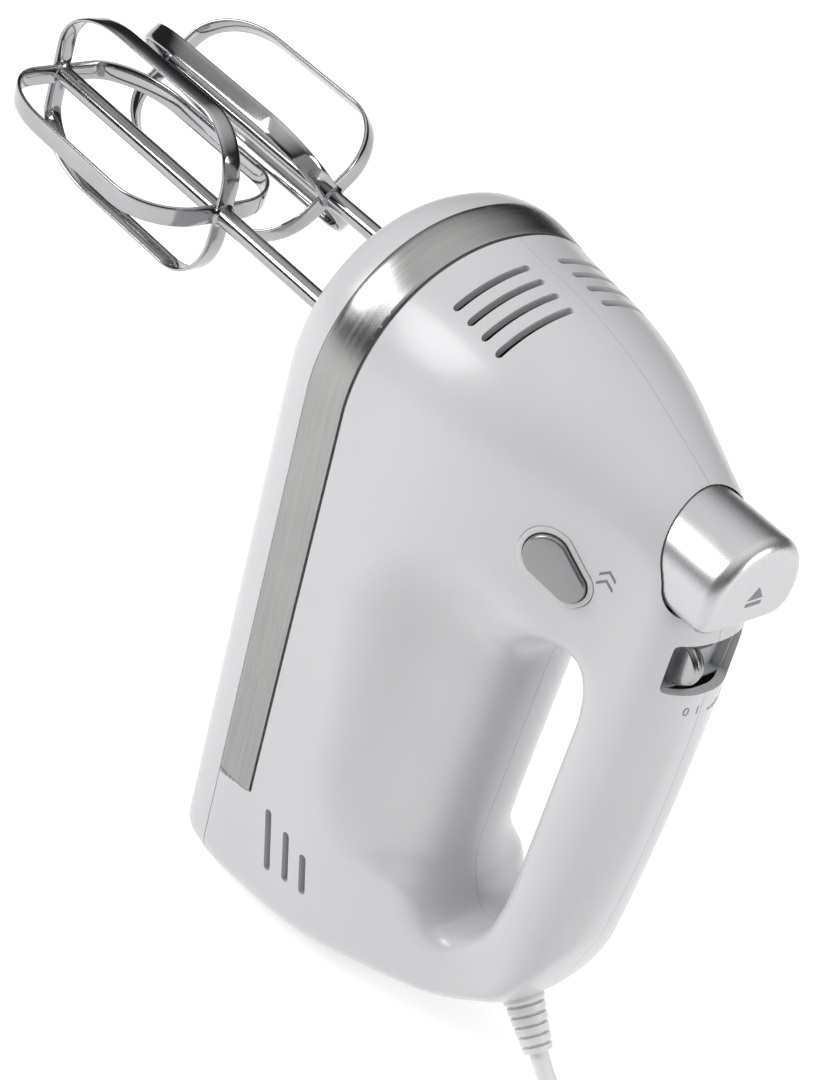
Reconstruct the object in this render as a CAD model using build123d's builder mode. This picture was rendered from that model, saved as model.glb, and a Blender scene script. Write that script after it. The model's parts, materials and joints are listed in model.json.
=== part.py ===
"""Hand mixer standing on its heel: +Z from heel to nose, beaters along +Y, grip on the -Y side, millimetres."""
from build123d import *
import math
import os

os.makedirs("parts", exist_ok=True)

# ---------------------------------------------------------------- driving dimensions
WALL = 2.4                # housing wall
BASE_LEVEL = 30.0         # underside of the mixer in use
BAND_LOW = 17.6           # trim band, edge next to the base cover
BAND_HIGH = 6.0           # trim band, edge next to the shells
BAND_THICK = 1.2
BAND_END_Z = 41.0         # the trim band stops short of the heel
NOSE_ROUND = 1.02         # nose depth as a share of its half-width
REAR_ROUND = 0.55         # heel depth as a share of its half-width

BEATER_Z = 168.0          # plane of the two beater axes
BEATER_X = 18.5           # each beater axis from the mid-plane
SHAFT_R = 2.5
TIP_Y = 160.0             # middle of the strips crossing at the beater tip
HUB_Y = 85.2              # middle of the strips crossing at the beater hub
CAGE_R = 23.75
STRIP_WIDE = 5.6
STRIP_THICK = 1.0
SHAFT_TOP = -20.0         # upper end of a seated beater shaft
FIT = 0.06                # radial running clearance

MOTOR_Y = -8.0            # armature axis, along Z at X = 0
WORM_R = 4.0              # worm pitch radius
WHEEL_TEETH = 29
WORM_STARTS = 2
MODULE = 1.0
WHEEL_R = WHEEL_TEETH * MODULE / 2
WHEEL_WIDE = 9.0
EJECT_TRAVEL = 4.5
SPRING_R = 4.6            # ejector spring, middle of its wire
SPRING_WIRE_R = 0.45
SPRING_TURNS = 5

TURBO_POINT = (-24.0, -56.5, 160.0)      # middle of the turbo button on the left side
TURBO_OUT = (-0.905, -0.425, 0.0)        # way the turbo button faces
KNOB_FLAT_Z = 164.0       # flat rear side of the eject knob
KNOB_R = 15.5
KNOB_END = -93.0
KNOB_FOOT = -68.0
STEM_Z = 173.0
SLIDER_X = -6.0           # slider at its off position
SLIDER_TRAVEL = 12.0
SLIDER_GROOVES = 5
SLIDER_Z = 150.0

CORD_D = 5.0
CORD_EXIT = (0.0, -76.5, 30.0)           # where the strain relief leaves the housing
CORD_WAY = (0.0, -0.722, -0.692)
RELIEF_OUT = 15.0
COIL_X, COIL_Y = -22.0, -152.0
COIL_R = 28.0
COIL_TURNS_WIDE = 3
COIL_TURNS_HIGH = 2
PLUG_PIN_R = 2.0
PLUG_PIN_APART = 19.0
SHELL_BOSSES = ((33.0, 118.0), (27.5, 55.0))          # X, Z of the base screws, on both sides
JOIN_BOSSES = ((-62.0, 146.0), (-78.0, 52.0), (-38.0, 32.0))   # Y, Z of the screws joining the shells
BOSS_R = 4.0

# Levels of the housing: Y, heel end Z, nose tip Z, half-width near the nose, half-width near the heel
LEVELS = (
    (30.0, 0.8, 206.0, 39.6, 28.0),
    (17.6, -0.6, 209.0, 42.1, 30.0),
    (6.0, -0.8, 207.6, 40.6, 29.0),
    (-20.0, 2.5, 205.0, 37.0, 26.5),
    (-45.0, 10.5, 199.0, 29.0, 21.0),
    (-60.0, 17.0, 193.0, 22.5, 17.5),
    (-74.0, 27.5, 186.5, 17.5, 16.0),
    (-84.0, 41.0, 174.0, 14.5, 14.5),
    (-91.0, 62.0, 152.0, 9.0, 9.0),
)
# Side outline (Y, Z) of the hand opening, walked from the ridge at the nose end
HAND_OPENING = (
    (-48.0, 124.0), (-56.0, 135.5), (-66.0, 136.5), (-69.5, 128.0), (-69.5, 64.0),
    (-65.5, 48.0), (-57.0, 41.0), (-50.5, 46.0), (-48.0, 58.0),
)
HAND_ROUND = 4.0
SCOOP_X = 52.0
SCOOP_Y = -46.0
SCOOP_R = 34.0
SCOOP_Z = (70.0, 118.0)


def save(piece, name):
    """Labels a finished piece and writes its STEP file."""
    piece.part.label = name
    export_step(piece.part, f"parts/{name}.step")


def level_plane(y):
    """Plane across the housing at height y of the mixer in use: local x is X, local y is Z, facing -Y."""
    return Plane.XZ.offset(-y)


def facing_y(y):
    """Plane at y facing +Y: local x is X, local y is -Z."""
    return Plane(origin=(0, y, 0), x_dir=(1, 0, 0), z_dir=(0, 1, 0))


def housing_form(inset):
    """Solid of the housing's outer form, drawn in by inset all round."""
    with BuildPart() as form:
        for y, heel, nose, front, back in LEVELS:
            level = max(y, LEVELS[-1][0] + inset)
            with BuildSketch(level_plane(level)):
                with BuildLine():
                    half_front = front - inset
                    half_back = back - inset
                    front_depth = NOSE_ROUND * half_front
                    back_depth = REAR_ROUND * half_back
                    front_z = nose - inset - front_depth
                    back_z = heel + inset + back_depth
                    EllipticalCenterArc((0, front_z), half_front, front_depth, 0, arc_size=180)
                    Line((-half_front, front_z), (-half_back, back_z))
                    EllipticalCenterArc((0, back_z), half_back, back_depth, 180, arc_size=180)
                    Line((half_back, back_z), (half_front, front_z))
                make_face()
        loft()
    return form.part


def hand_room(grow):
    """Space the hand goes through, with the two side scoops, grown by grow all round."""
    with BuildPart() as room:
        with BuildSketch(Plane.YZ) as side_view:
            with BuildLine():
                Polyline(*HAND_OPENING, close=True)
            make_face()
            fillet(side_view.vertices(), HAND_ROUND)
            if grow > 0:
                offset(amount=grow)
        extrude(amount=60, both=True)
        for side in (-1, 1):
            with Locations((side * SCOOP_X, SCOOP_Y, sum(SCOOP_Z) / 2)):
                Cylinder(SCOOP_R + grow, SCOOP_Z[1] - SCOOP_Z[0])
            with Locations(*[(side * SCOOP_X, SCOOP_Y, z) for z in SCOOP_Z]):
                Sphere(SCOOP_R + grow)
    return room.part


def ring(plane, outer, inner, length, spots):
    """Equal plain rings standing on a plane at the listed local spots."""
    with BuildPart() as rings:
        with BuildSketch(plane):
            with Locations(*spots):
                Circle(outer)
                Circle(inner, mode=Mode.SUBTRACT)
        extrude(amount=length)
    return rings.part


def coil_spring(plane, radius, wire_r, length, turns):
    """Open coil spring that stands on a plane, its wire's outside from 0 to length."""
    path = Helix(pitch=(length - 2 * wire_r) / turns, height=length - 2 * wire_r, radius=radius)
    path = plane.from_local_coords(path.moved(Location((0, 0, wire_r))))
    with BuildPart() as spring:
        with BuildSketch(Plane(origin=path @ 0, z_dir=path % 0)):
            Circle(wire_r)
        sweep(path=path, is_frenet=True)
    return spring.part


def egg(plane, grow):
    """Egg-shaped face of the turbo button, grown by grow: a wide end towards the nose and a narrow one."""
    with BuildSketch(plane) as face:
        with Locations((-3.2, 2.0)):
            Circle(6.0 + grow)
        with Locations((3.7, -2.2)):
            Circle(4.4 + grow)
        make_hull()
    return face.sketch


def knob_outline(plane, grow):
    """D-shaped outline of the eject knob: flat towards the heel, round towards the nose."""
    middle = KNOB_FLAT_Z + KNOB_R * 0.55
    with BuildSketch(plane) as face:
        with BuildLine():
            Line((-KNOB_R - grow, middle), (-KNOB_R - grow, KNOB_FLAT_Z - grow))
            Line((-KNOB_R - grow, KNOB_FLAT_Z - grow), (KNOB_R + grow, KNOB_FLAT_Z - grow))
            Line((KNOB_R + grow, KNOB_FLAT_Z - grow), (KNOB_R + grow, middle))
            EllipticalCenterArc((0, middle), KNOB_R + grow, KNOB_R + grow, 0, arc_size=180)
        make_face()
        fillet(face.vertices().group_by(Axis.Z)[0], 4.0)
    return face.sketch


turbo_plane = Plane(origin=TURBO_POINT, x_dir=(-TURBO_OUT[1], TURBO_OUT[0], 0), z_dir=TURBO_OUT)
exit_plane = Plane(origin=CORD_EXIT, x_dir=(1, 0, 0), z_dir=CORD_WAY)

# ---------------------------------------------------------------- housing
outer_form = housing_form(0)
inner_form = housing_form(WALL)
hand_space = hand_room(0)
hand_walls = hand_room(WALL)

with BuildPart() as cavity:
    add(inner_form)
    add(hand_walls, mode=Mode.SUBTRACT)
    with Locations((0, BASE_LEVEL - WALL + 10, 100)):
        Box(120, 20, 260, mode=Mode.SUBTRACT)
    with Locations((0, 0, WALL - 10)):
        Box(120, 300, 20, mode=Mode.SUBTRACT)

with BuildPart() as trim_band:
    add(outer_form)
    add(housing_form(BAND_THICK), mode=Mode.SUBTRACT)
    middle_y = (BAND_LOW + BAND_HIGH) / 2
    with Locations((0, middle_y, BAND_END_Z + 100)):
        Box(120, BAND_LOW - BAND_HIGH, 200, mode=Mode.INTERSECT)
save(trim_band, "trim_band")


with BuildPart() as shells:
    add(outer_form)
    add(hand_space, mode=Mode.SUBTRACT)
    add(cavity.part, mode=Mode.SUBTRACT)
    with BuildSketch(facing_y(-4)):
        with Locations(*[(side * x, -z) for x, z in SHELL_BOSSES for side in (-1, 1)]):
            Circle(BOSS_R)
    extrude(amount=BAND_LOW + 4)
    with BuildSketch(Plane.YZ):
        with Locations(*JOIN_BOSSES):
            Circle(BOSS_R)
    extrude(amount=40, both=True)
    with BuildSketch(Plane.YZ):
        with Locations(*JOIN_BOSSES):
            Circle(1.25)
    extrude(amount=12, both=True, mode=Mode.SUBTRACT)
    with BuildSketch(facing_y(4)):
        with Locations(*[(side * x, -z) for x, z in SHELL_BOSSES for side in (-1, 1)]):
            Circle(1.25)
    extrude(amount=BAND_LOW, mode=Mode.SUBTRACT)
    add(outer_form, mode=Mode.INTERSECT)
    add(trim_band.part, mode=Mode.SUBTRACT)
    with Locations((0, BAND_LOW + 20, 100)):
        Box(120, 40, 260, mode=Mode.SUBTRACT)
    with Locations((0, 0, -10)):
        Box(120, 300, 20, mode=Mode.SUBTRACT)
    # front vents: four slots each side of the nose, rear vents: three slanted slots each side
    for side in (-1, 1):
        with Locations(*[(side * 15.5, -4.4 - 5.4 * row, 205) for row in range(4)]):
            Box(20, 2.2, 30, mode=Mode.SUBTRACT)
        for row, (y, z, long) in enumerate(((-3.7, 31.2, 19.0), (-10.7, 31.0, 15.5), (-17.3, 30.2, 12.0))):
            with Locations(Location((side * 30, y, z), (13, 0, 0))):
                Box(16, 2.4, long, mode=Mode.SUBTRACT)
    # eject knob's well
    extrude(knob_outline(level_plane(-62), 0.35), amount=34, mode=Mode.SUBTRACT)
    # speed slider's window
    with Locations((-0.75, -92, SLIDER_Z + 0.2)):
        Box(22.5, 24, 13.4, mode=Mode.SUBTRACT)
    # cord exit
    with BuildSketch(exit_plane.offset(-8)):
        Circle(5.5)
    extrude(amount=20, mode=Mode.SUBTRACT)

with BuildPart() as left_shell:
    add(shells.part)
    split(bisect_by=Plane.YZ, keep=Keep.BOTTOM)
    extrude(egg(turbo_plane.offset(-8), 1.6), amount=16, mode=Mode.SUBTRACT)
save(left_shell, "left_shell")

with BuildPart() as right_shell:
    add(shells.part)
    split(bisect_by=Plane.YZ, keep=Keep.TOP)
    with BuildSketch(Plane.YZ.offset(12)):
        with Locations(*JOIN_BOSSES):
            Circle(3.0)
    extrude(amount=20, mode=Mode.SUBTRACT)
save(right_shell, "right_shell")

with BuildPart() as base_cover:
    add(outer_form)
    add(cavity.part, mode=Mode.SUBTRACT)
    with BuildSketch(facing_y(BAND_LOW)):
        with Locations(*[(side * x, -z) for x, z in SHELL_BOSSES for side in (-1, 1)]):
            Circle(BOSS_R + 0.6)
    extrude(amount=BASE_LEVEL - BAND_LOW - 1)
    with BuildSketch(facing_y(BAND_LOW - 1)):
        with Locations(*[(side * x, -z) for x, z in SHELL_BOSSES for side in (-1, 1)]):
            Circle(1.8)
    extrude(amount=20, mode=Mode.SUBTRACT)
    with BuildSketch(facing_y(BASE_LEVEL - 5)):
        with Locations(*[(side * x, -z) for x, z in SHELL_BOSSES for side in (-1, 1)]):
            Circle(3.4)
    extrude(amount=8, mode=Mode.SUBTRACT)
    with Locations((0, BAND_LOW - 100, 100)):
        Box(120, 200, 260, mode=Mode.SUBTRACT)
    with Locations((0, 0, -10)):
        Box(120, 300, 20, mode=Mode.SUBTRACT)
    with BuildSketch(facing_y(BAND_LOW)):
        with Locations((-BEATER_X, -BEATER_Z), (BEATER_X, -BEATER_Z)):
            Circle(8.5)
    extrude(amount=20, mode=Mode.SUBTRACT)
save(base_cover, "base_cover")

# ---------------------------------------------------------------- controls on the housing
with BuildPart() as eject_knob:
    extrude(knob_outline(level_plane(KNOB_FOOT), 0), amount=KNOB_FOOT - KNOB_END)
    fillet(eject_knob.faces().sort_by(Axis.Y)[0].edges(), 2.8)
    extrude(knob_outline(level_plane(KNOB_FOOT), -2.0), amount=KNOB_FOOT - KNOB_END - 2.4, mode=Mode.SUBTRACT)
save(eject_knob, "eject_knob")

PLATE_TOP = SHAFT_TOP - EJECT_TRAVEL - 2.8     # ejector plate clears the beater ends by 0.3 at full press
GUIDE_Y = -46.0
with BuildPart() as ejector_stem:
    with BuildSketch(level_plane(PLATE_TOP)):
        with Locations((0, STEM_Z)):
            Circle(3.0)
    extrude(amount=PLATE_TOP - KNOB_END - 2.4)
    with BuildSketch(level_plane(KNOB_FOOT + 2)):
        with Locations((0, STEM_Z)):
            Circle(7.0)
    extrude(amount=2)
save(ejector_stem, "ejector_stem")

with BuildPart() as ejector_plate:
    with BuildSketch(level_plane(PLATE_TOP)):
        with Locations((0, BEATER_Z)):
            SlotCenterToCenter(2 * BEATER_X, 11)
            Rectangle(14, 20)
    extrude(amount=-2.5)
save(ejector_plate, "ejector_plate")

with BuildPart() as ejector_guide:
    add(inner_form)
    with Locations((0, GUIDE_Y + 1.25, STEM_Z + 2)):
        Box(80, 2.5, 12, mode=Mode.INTERSECT)
    with BuildSketch(level_plane(GUIDE_Y + 10)):
        with Locations((0, STEM_Z)):
            Circle(3.0 + 0.3)
    extrude(amount=20, mode=Mode.SUBTRACT)
save(ejector_guide, "ejector_guide")

spring_room = (GUIDE_Y - KNOB_FOOT - 2) - EJECT_TRAVEL
spring_plane = Plane(origin=(0, GUIDE_Y, STEM_Z), x_dir=(1, 0, 0), z_dir=(0, -1, 0))
with BuildPart() as ejector_spring:
    add(coil_spring(spring_plane, SPRING_R, SPRING_WIRE_R, spring_room - 0.2, SPRING_TURNS))
save(ejector_spring, "ejector_spring")

with BuildPart() as turbo_bezel:
    extrude(egg(turbo_plane.offset(-4.5), 1.6), amount=5.2)
    extrude(egg(turbo_plane.offset(-6), 0.3), amount=10, mode=Mode.SUBTRACT)
save(turbo_bezel, "turbo_bezel")

with BuildPart() as turbo_button:
    extrude(egg(turbo_plane.offset(-4.0), 0), amount=5.8)
    fillet(turbo_button.faces().sort_by(Axis(TURBO_POINT, TURBO_OUT))[-1].edges(), 1.2)
    with BuildSketch(turbo_plane.offset(-4.0)):
        Circle(2.0)
    extrude(amount=-2.0)
save(turbo_button, "turbo_button")

with BuildPart() as turbo_switch:
    with BuildSketch(turbo_plane.offset(-14.0)):
        Rectangle(9, 8)
    extrude(amount=6.0)
    with BuildSketch(turbo_plane.offset(-8.0)):
        Circle(1.0)
    extrude(amount=0.3)
save(turbo_switch, "turbo_switch")

WINDOW_Y = -83.0
with BuildPart() as speed_bezel:
    with BuildSketch(level_plane(WINDOW_Y + 2)):
        with Locations((-0.75, SLIDER_Z + 0.2)):
            RectangleRounded(22.4, 13.3, 1.0)
        with Locations((0, SLIDER_Z)):
            SlotCenterToCenter(SLIDER_TRAVEL + 1.6, 3.4, mode=Mode.SUBTRACT)
    extrude(amount=2)
save(speed_bezel, "speed_bezel")

with BuildPart() as speed_slider:
    with BuildSketch(Plane.YZ.offset(SLIDER_X - 1.9)):
        with Locations((WINDOW_Y - 1.2, SLIDER_Z)):
            Ellipse(7.2, 6.6)
        with Locations((WINDOW_Y + 9.6, SLIDER_Z)):
            Rectangle(20, 30, mode=Mode.SUBTRACT)
    extrude(amount=3.8)
    for groove in range(SLIDER_GROOVES):
        z = SLIDER_Z - 5 + 2.5 * groove
        with Locations((SLIDER_X - 1.9, WINDOW_Y - 6, z), (SLIDER_X + 1.9, WINDOW_Y - 6, z)):
            Box(0.7, 14, 0.9, mode=Mode.SUBTRACT)
    with Locations((SLIDER_X, WINDOW_Y + 0.8, SLIDER_Z)):
        Box(1.6, 4.4, 2.8)
save(speed_slider, "speed_slider")

with BuildPart() as slider_carrier:
    with Locations((SLIDER_X, WINDOW_Y + 3.9, SLIDER_Z)):
        Box(4.0, 1.8, 9.0)
save(slider_carrier, "slider_carrier")

with BuildPart() as speed_switch:
    with Locations((0, WINDOW_Y + 9.2, SLIDER_Z + 0.5)):
        Box(21, 8, 10)
save(speed_switch, "speed_switch")

# ---------------------------------------------------------------- gear train
GEAR_LOW = MOTOR_Y - WHEEL_WIDE / 2
HUB_R = 6.0
HUB_TOP = -18.3
HUB_LOW = 28.0
BOTH_AXES = ((-BEATER_X, BEATER_Z), (BEATER_X, BEATER_Z))
PITCH = 360 / WHEEL_TEETH


def worm_wheel(x, first_tooth):
    """Moulded worm wheel with its hollow drive hub; first_tooth is the angle of one tooth's middle from +X."""
    twist = math.degrees(WHEEL_WIDE * WORM_STARTS * MODULE / (2 * WORM_R) / WHEEL_R)
    middle = Plane(origin=(x, GEAR_LOW, BEATER_Z), x_dir=(1, 0, 0), z_dir=(0, 1, 0))
    with BuildSketch(middle) as teeth:
        Circle(WHEEL_R - 1.2)
        with PolarLocations(0, WHEEL_TEETH, first_tooth - twist / 2):
            with Locations((WHEEL_R - 0.25, 0)):
                Trapezoid(1.3, 2.1, 80, rotation=-90)
    turned = Solid.extrude_linear_with_rotation(
        teeth.sketch.faces()[0], (x, GEAR_LOW, BEATER_Z), (0, WHEEL_WIDE, 0), twist)
    with BuildPart() as wheel:
        add(turned)
        with BuildSketch(Plane(origin=(x, HUB_TOP, BEATER_Z), x_dir=(1, 0, 0), z_dir=(0, 1, 0))):
            Circle(HUB_R)
        extrude(amount=HUB_LOW - HUB_TOP)
        with BuildSketch(Plane(origin=(x, HUB_TOP - 1, BEATER_Z), x_dir=(1, 0, 0), z_dir=(0, 1, 0))):
            Circle(SHAFT_R + FIT)
        extrude(amount=60, mode=Mode.SUBTRACT)
        with Locations((x, HUB_LOW - 6, BEATER_Z)):
            Box(9.0, 14.2, 2.0, mode=Mode.SUBTRACT)
    return wheel.part


def beater_shaft(x):
    """Polished drive shaft with its two drive ears, from the ejector end to the riveted tip."""
    with BuildPart() as shaft:
        with BuildSketch(facing_y(SHAFT_TOP)):
            with Locations((x, -BEATER_Z)):
                Circle(SHAFT_R)
        extrude(amount=TIP_Y + 1.6 - SHAFT_TOP)
        chamfer(shaft.faces().sort_by(Axis.Y)[0].edges(), 0.8)
        with Locations((x, 19.0, BEATER_Z)):
            Box(8.4, 6, 1.6)
    return shaft.part


def loop_face(plane, inset):
    """Face inside a beater loop's outer outline, drawn in by inset: local x runs to the tip, local y across."""
    tip = TIP_Y + STRIP_THICK / 2 - inset
    hub = HUB_Y - STRIP_THICK / 2 + inset
    outer = CAGE_R - inset
    tip_long, tip_wide = 23.5 - inset, 14.5 - inset
    hub_long, hub_wide = 15.9 - inset, 17.1 - inset
    with BuildSketch(plane) as face:
        with BuildLine():
            Line((tip, tip_wide - outer), (tip, outer - tip_wide))
            EllipticalCenterArc((tip - tip_long, outer - tip_wide), tip_long, tip_wide, 0, arc_size=90)
            Line((tip - tip_long, outer), (hub + hub_long, outer))
            EllipticalCenterArc((hub + hub_long, outer - hub_wide), hub_long, hub_wide, 90, arc_size=90)
            Line((hub, outer - hub_wide), (hub, hub_wide - outer))
            EllipticalCenterArc((hub + hub_long, hub_wide - outer), hub_long, hub_wide, 180, arc_size=90)
            Line((hub + hub_long, -outer), (tip - tip_long, -outer))
            EllipticalCenterArc((tip - tip_long, tip_wide - outer), tip_long, tip_wide, 270, arc_size=90)
        make_face()
    return face.sketch


def beater_loops(x, turn):
    """Two bent steel loops that cross at the tip and at the hub, each a strip of even thickness."""
    with BuildPart() as loops:
        for loop_turn in (turn, turn + 90):
            angle = math.radians(loop_turn)
            out = Plane(origin=(x, 0, BEATER_Z), x_dir=(0, 1, 0), z_dir=(math.cos(angle), 0, math.sin(angle)))
            strip = loop_face(out, 0) - loop_face(out, STRIP_THICK)
            extrude(strip, amount=STRIP_WIDE / 2, both=True)
        with Locations(Location((x, (HUB_Y + TIP_Y) / 2, BEATER_Z), (90, 0, 0))):
            Cylinder(SHAFT_R, 120, mode=Mode.SUBTRACT)
    return loops.part


for name, x, first_tooth, turn in (("left", -BEATER_X, PITCH / 2, 0), ("right", BEATER_X, 0, 45)):
    with BuildPart() as piece:
        add(worm_wheel(x, first_tooth))
    save(piece, f"{name}_worm_wheel")
    with BuildPart() as piece:
        add(beater_shaft(x))
    save(piece, f"{name}_beater_shaft")
    with BuildPart() as piece:
        add(beater_loops(x, turn))
    save(piece, f"{name}_beater_loops")

# ---------------------------------------------------------------- gear frame and bearings
FRAME_LOW = 5.5
FRAME_PLATE = 3.0
TOP_PLATE_Y = (-18.0, -15.5)
with BuildPart() as gear_frame:
    with Locations((0, FRAME_LOW - FRAME_PLATE / 2, 161)):
        Box(62, FRAME_PLATE, 36)
    with Locations((0, FRAME_LOW - FRAME_PLATE / 2, 182)):
        Box(48, FRAME_PLATE, 21)
    with Locations((0, sum(TOP_PLATE_Y) / 2, 165)):
        Box(52, TOP_PLATE_Y[1] - TOP_PLATE_Y[0], 38)
    with Locations((0, sum(TOP_PLATE_Y) / 2, 186)):
        Box(20, TOP_PLATE_Y[1] - TOP_PLATE_Y[0], 8)
    with Locations((0, (TOP_PLATE_Y[0] + FRAME_LOW) / 2, 142.5), (0, (TOP_PLATE_Y[0] + FRAME_LOW) / 2, 190)):
        Box(20, FRAME_LOW - TOP_PLATE_Y[0], 5)
    with Locations((0, MOTOR_Y, 142.5)):
        Box(50, 14, 5)
    for side in (-1, 1):
        with BuildSketch(Plane.XY.offset(122)):
            with Locations((side * 21.5, MOTOR_Y)):
                Circle(2.0)
        extrude(amount=19)
        with BuildSketch(facing_y(FRAME_LOW)):
            with Locations((side * 27, -148), (side * 24, -189)):
                Circle(3.2)
        extrude(amount=BASE_LEVEL - WALL - FRAME_LOW)
    with BuildSketch(facing_y(-30)):
        with Locations(*[(x, -z) for x, z in BOTH_AXES]):
            Circle(8.0)
    extrude(amount=50, mode=Mode.SUBTRACT)
    with BuildSketch(Plane.XY.offset(130)):
        with Locations((0, MOTOR_Y)):
            Circle(5.0)
    extrude(amount=80, mode=Mode.SUBTRACT)
save(gear_frame, "gear_frame")

for name, y, deep in (
    ("upper_gear_bushes", TOP_PLATE_Y[0], 2.5),
    ("lower_gear_bushes", FRAME_LOW - FRAME_PLATE, 3.0),
):
    with BuildPart() as bushes:
        add(ring(facing_y(y), 8.0, HUB_R + FIT, deep, [(x, -z) for x, z in BOTH_AXES]))
    save(bushes, name)

with BuildPart() as socket_collars:
    add(ring(facing_y(24.0), 8.5, HUB_R + FIT, 6.4, [(x, -z) for x, z in BOTH_AXES]))
    add(ring(facing_y(BASE_LEVEL), 9.6, 7.0, 0.8, [(x, -z) for x, z in BOTH_AXES]))
save(socket_collars, "socket_collars")

# ---------------------------------------------------------------- motor
CORE_LOW, CORE_HIGH = 84.0, 122.0
CORE_R = 13.5
STATOR_R = 24.0
POLE_R = 14.2
WINDOW_R = 19.0
END_TURN = 5.0            # how far the field coils stand out of the core
SHAFT_BACK, SHAFT_STEP, SHAFT_FRONT = 56.0, 150.0, 192.0
AXIS_SPOT = (0, MOTOR_Y)

with BuildPart() as motor_shaft:
    with BuildSketch(Plane.XY.offset(SHAFT_BACK)):
        with Locations(AXIS_SPOT):
            Circle(2.5)
    extrude(amount=SHAFT_STEP - SHAFT_BACK)
    with BuildSketch(Plane.XY.offset(SHAFT_STEP)):
        with Locations(AXIS_SPOT):
            Circle(1.9)
    extrude(amount=SHAFT_FRONT - SHAFT_STEP)
save(motor_shaft, "motor_shaft")

with BuildPart() as armature_core:
    with BuildSketch(Plane.XY.offset(CORE_LOW)):
        with Locations(AXIS_SPOT):
            Circle(CORE_R)
            Circle(2.5, mode=Mode.SUBTRACT)
            with PolarLocations(11.0, 12):
                Rectangle(7.0, 2.6, mode=Mode.SUBTRACT)
    extrude(amount=CORE_HIGH - CORE_LOW)
save(armature_core, "armature_core")

with BuildPart() as armature_windings:
    with BuildSketch(Plane.XY.offset(CORE_LOW)):
        with Locations(AXIS_SPOT):
            with PolarLocations(10.3, 12):
                Rectangle(5.0, 2.6)
    extrude(amount=CORE_HIGH - CORE_LOW)
    for z, height in ((CORE_LOW - 6.5, 6.5), (CORE_HIGH, 6.0)):
        with BuildSketch(Plane.XY.offset(z)):
            with Locations(AXIS_SPOT):
                Circle(12.6)
                Circle(2.5, mode=Mode.SUBTRACT)
        extrude(amount=height)
save(armature_windings, "armature_windings")

with BuildPart() as commutator:
    with BuildSketch(Plane.XY.offset(64)):
        with Locations(AXIS_SPOT):
            Circle(8.0)
            Circle(2.5, mode=Mode.SUBTRACT)
            with PolarLocations(8.0, 24):
                Rectangle(1.6, 0.4, mode=Mode.SUBTRACT)
    extrude(amount=CORE_LOW - 6.5 - 64)
save(commutator, "commutator")

FAN_BLADES = 11
with BuildPart() as cooling_fan:
    with BuildSketch(Plane.XY.offset(130)):
        with Locations(AXIS_SPOT):
            Circle(17.0)
            Circle(2.5, mode=Mode.SUBTRACT)
    extrude(amount=1.4)
    with BuildSketch(Plane.XY.offset(131.4)):
        with Locations(AXIS_SPOT):
            Circle(5.5)
            with PolarLocations(10.8, FAN_BLADES):
                Rectangle(12.0, 1.0, rotation=24)
            Circle(2.5, mode=Mode.SUBTRACT)
    extrude(amount=6.0)
save(cooling_fan, "cooling_fan")

WORM_LOW, WORM_LONG = 158.0, 20.0
with BuildSketch(Plane.XY.offset(WORM_LOW)) as worm_section:
    with Locations(AXIS_SPOT):
        Circle(WORM_R - 1.1)
        start_angle = 360 * (WORM_LOW - BEATER_Z) / (WORM_STARTS * MODULE * math.pi)
        for start in range(WORM_STARTS):
            with PolarLocations(0, 1, start_angle + 360 * start / WORM_STARTS):
                with Locations((WORM_R - 0.2, 0)):
                    Ellipse(1.1, 2.3)
worm_turn = 360 * WORM_LONG / (WORM_STARTS * MODULE * math.pi)
worm_thread = Solid.extrude_linear_with_rotation(
    worm_section.sketch.faces()[0], (0, MOTOR_Y, WORM_LOW), (0, 0, WORM_LONG), worm_turn)
with BuildPart() as worm:
    add(worm_thread)
    with BuildSketch(Plane.XY.offset(WORM_LOW - 1)):
        with Locations(AXIS_SPOT):
            Circle(1.9)
    extrude(amount=WORM_LONG + 2, mode=Mode.SUBTRACT)
save(worm, "worm")

with BuildPart() as stator_core:
    with BuildSketch(Plane.XY.offset(CORE_LOW)):
        with Locations(AXIS_SPOT):
            Circle(STATOR_R)
            Circle(WINDOW_R, mode=Mode.SUBTRACT)
            for side in (0, 180):
                with PolarLocations((WINDOW_R + POLE_R) / 2 + 1, 1, side):
                    Rectangle(WINDOW_R - POLE_R + 6, 15)
            Circle(POLE_R, mode=Mode.SUBTRACT)
    extrude(amount=CORE_HIGH - CORE_LOW)
save(stator_core, "stator_core")


def field_coil(side):
    """Saddle coil round one stator pole: two legs through the core and an end turn outside each face."""
    with BuildPart() as coil:
        for low, high, has_gap in (
            (CORE_LOW, CORE_HIGH, True),
            (CORE_LOW - END_TURN, CORE_LOW, False),
            (CORE_HIGH, CORE_HIGH + END_TURN, False),
        ):
            with BuildSketch(Plane.XY.offset(low)):
                with Locations(AXIS_SPOT):
                    Circle(WINDOW_R - 0.2)
                    Circle(POLE_R + 0.6, mode=Mode.SUBTRACT)
                    with Locations((-side * 30 + side * 2.0, 0)):
                        Rectangle(60, 60, mode=Mode.SUBTRACT)
                    if has_gap:
                        with Locations((side * 15, 0)):
                            Rectangle(30, 15.6, mode=Mode.SUBTRACT)
            extrude(amount=high - low)
    return coil.part


for name, side in (("left", -1), ("right", 1)):
    with BuildPart() as piece:
        add(field_coil(side))
    save(piece, f"{name}_field_coil")

with BuildPart() as rear_bracket:
    with Locations((0, MOTOR_Y, 59)):
        Box(48, 14, 4)
        Cylinder(9.0, 4)
        Cylinder(6.0, 6, mode=Mode.SUBTRACT)
    for side in (-1, 1):
        with BuildSketch(Plane.XY.offset(61)):
            with Locations((side * 21.5, MOTOR_Y)):
                Circle(2.0)
        extrude(amount=CORE_LOW - 61)
        with Locations((side * 14.5, MOTOR_Y, 63)):
            Box(7, 5, 4)
save(rear_bracket, "rear_bracket")

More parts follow.
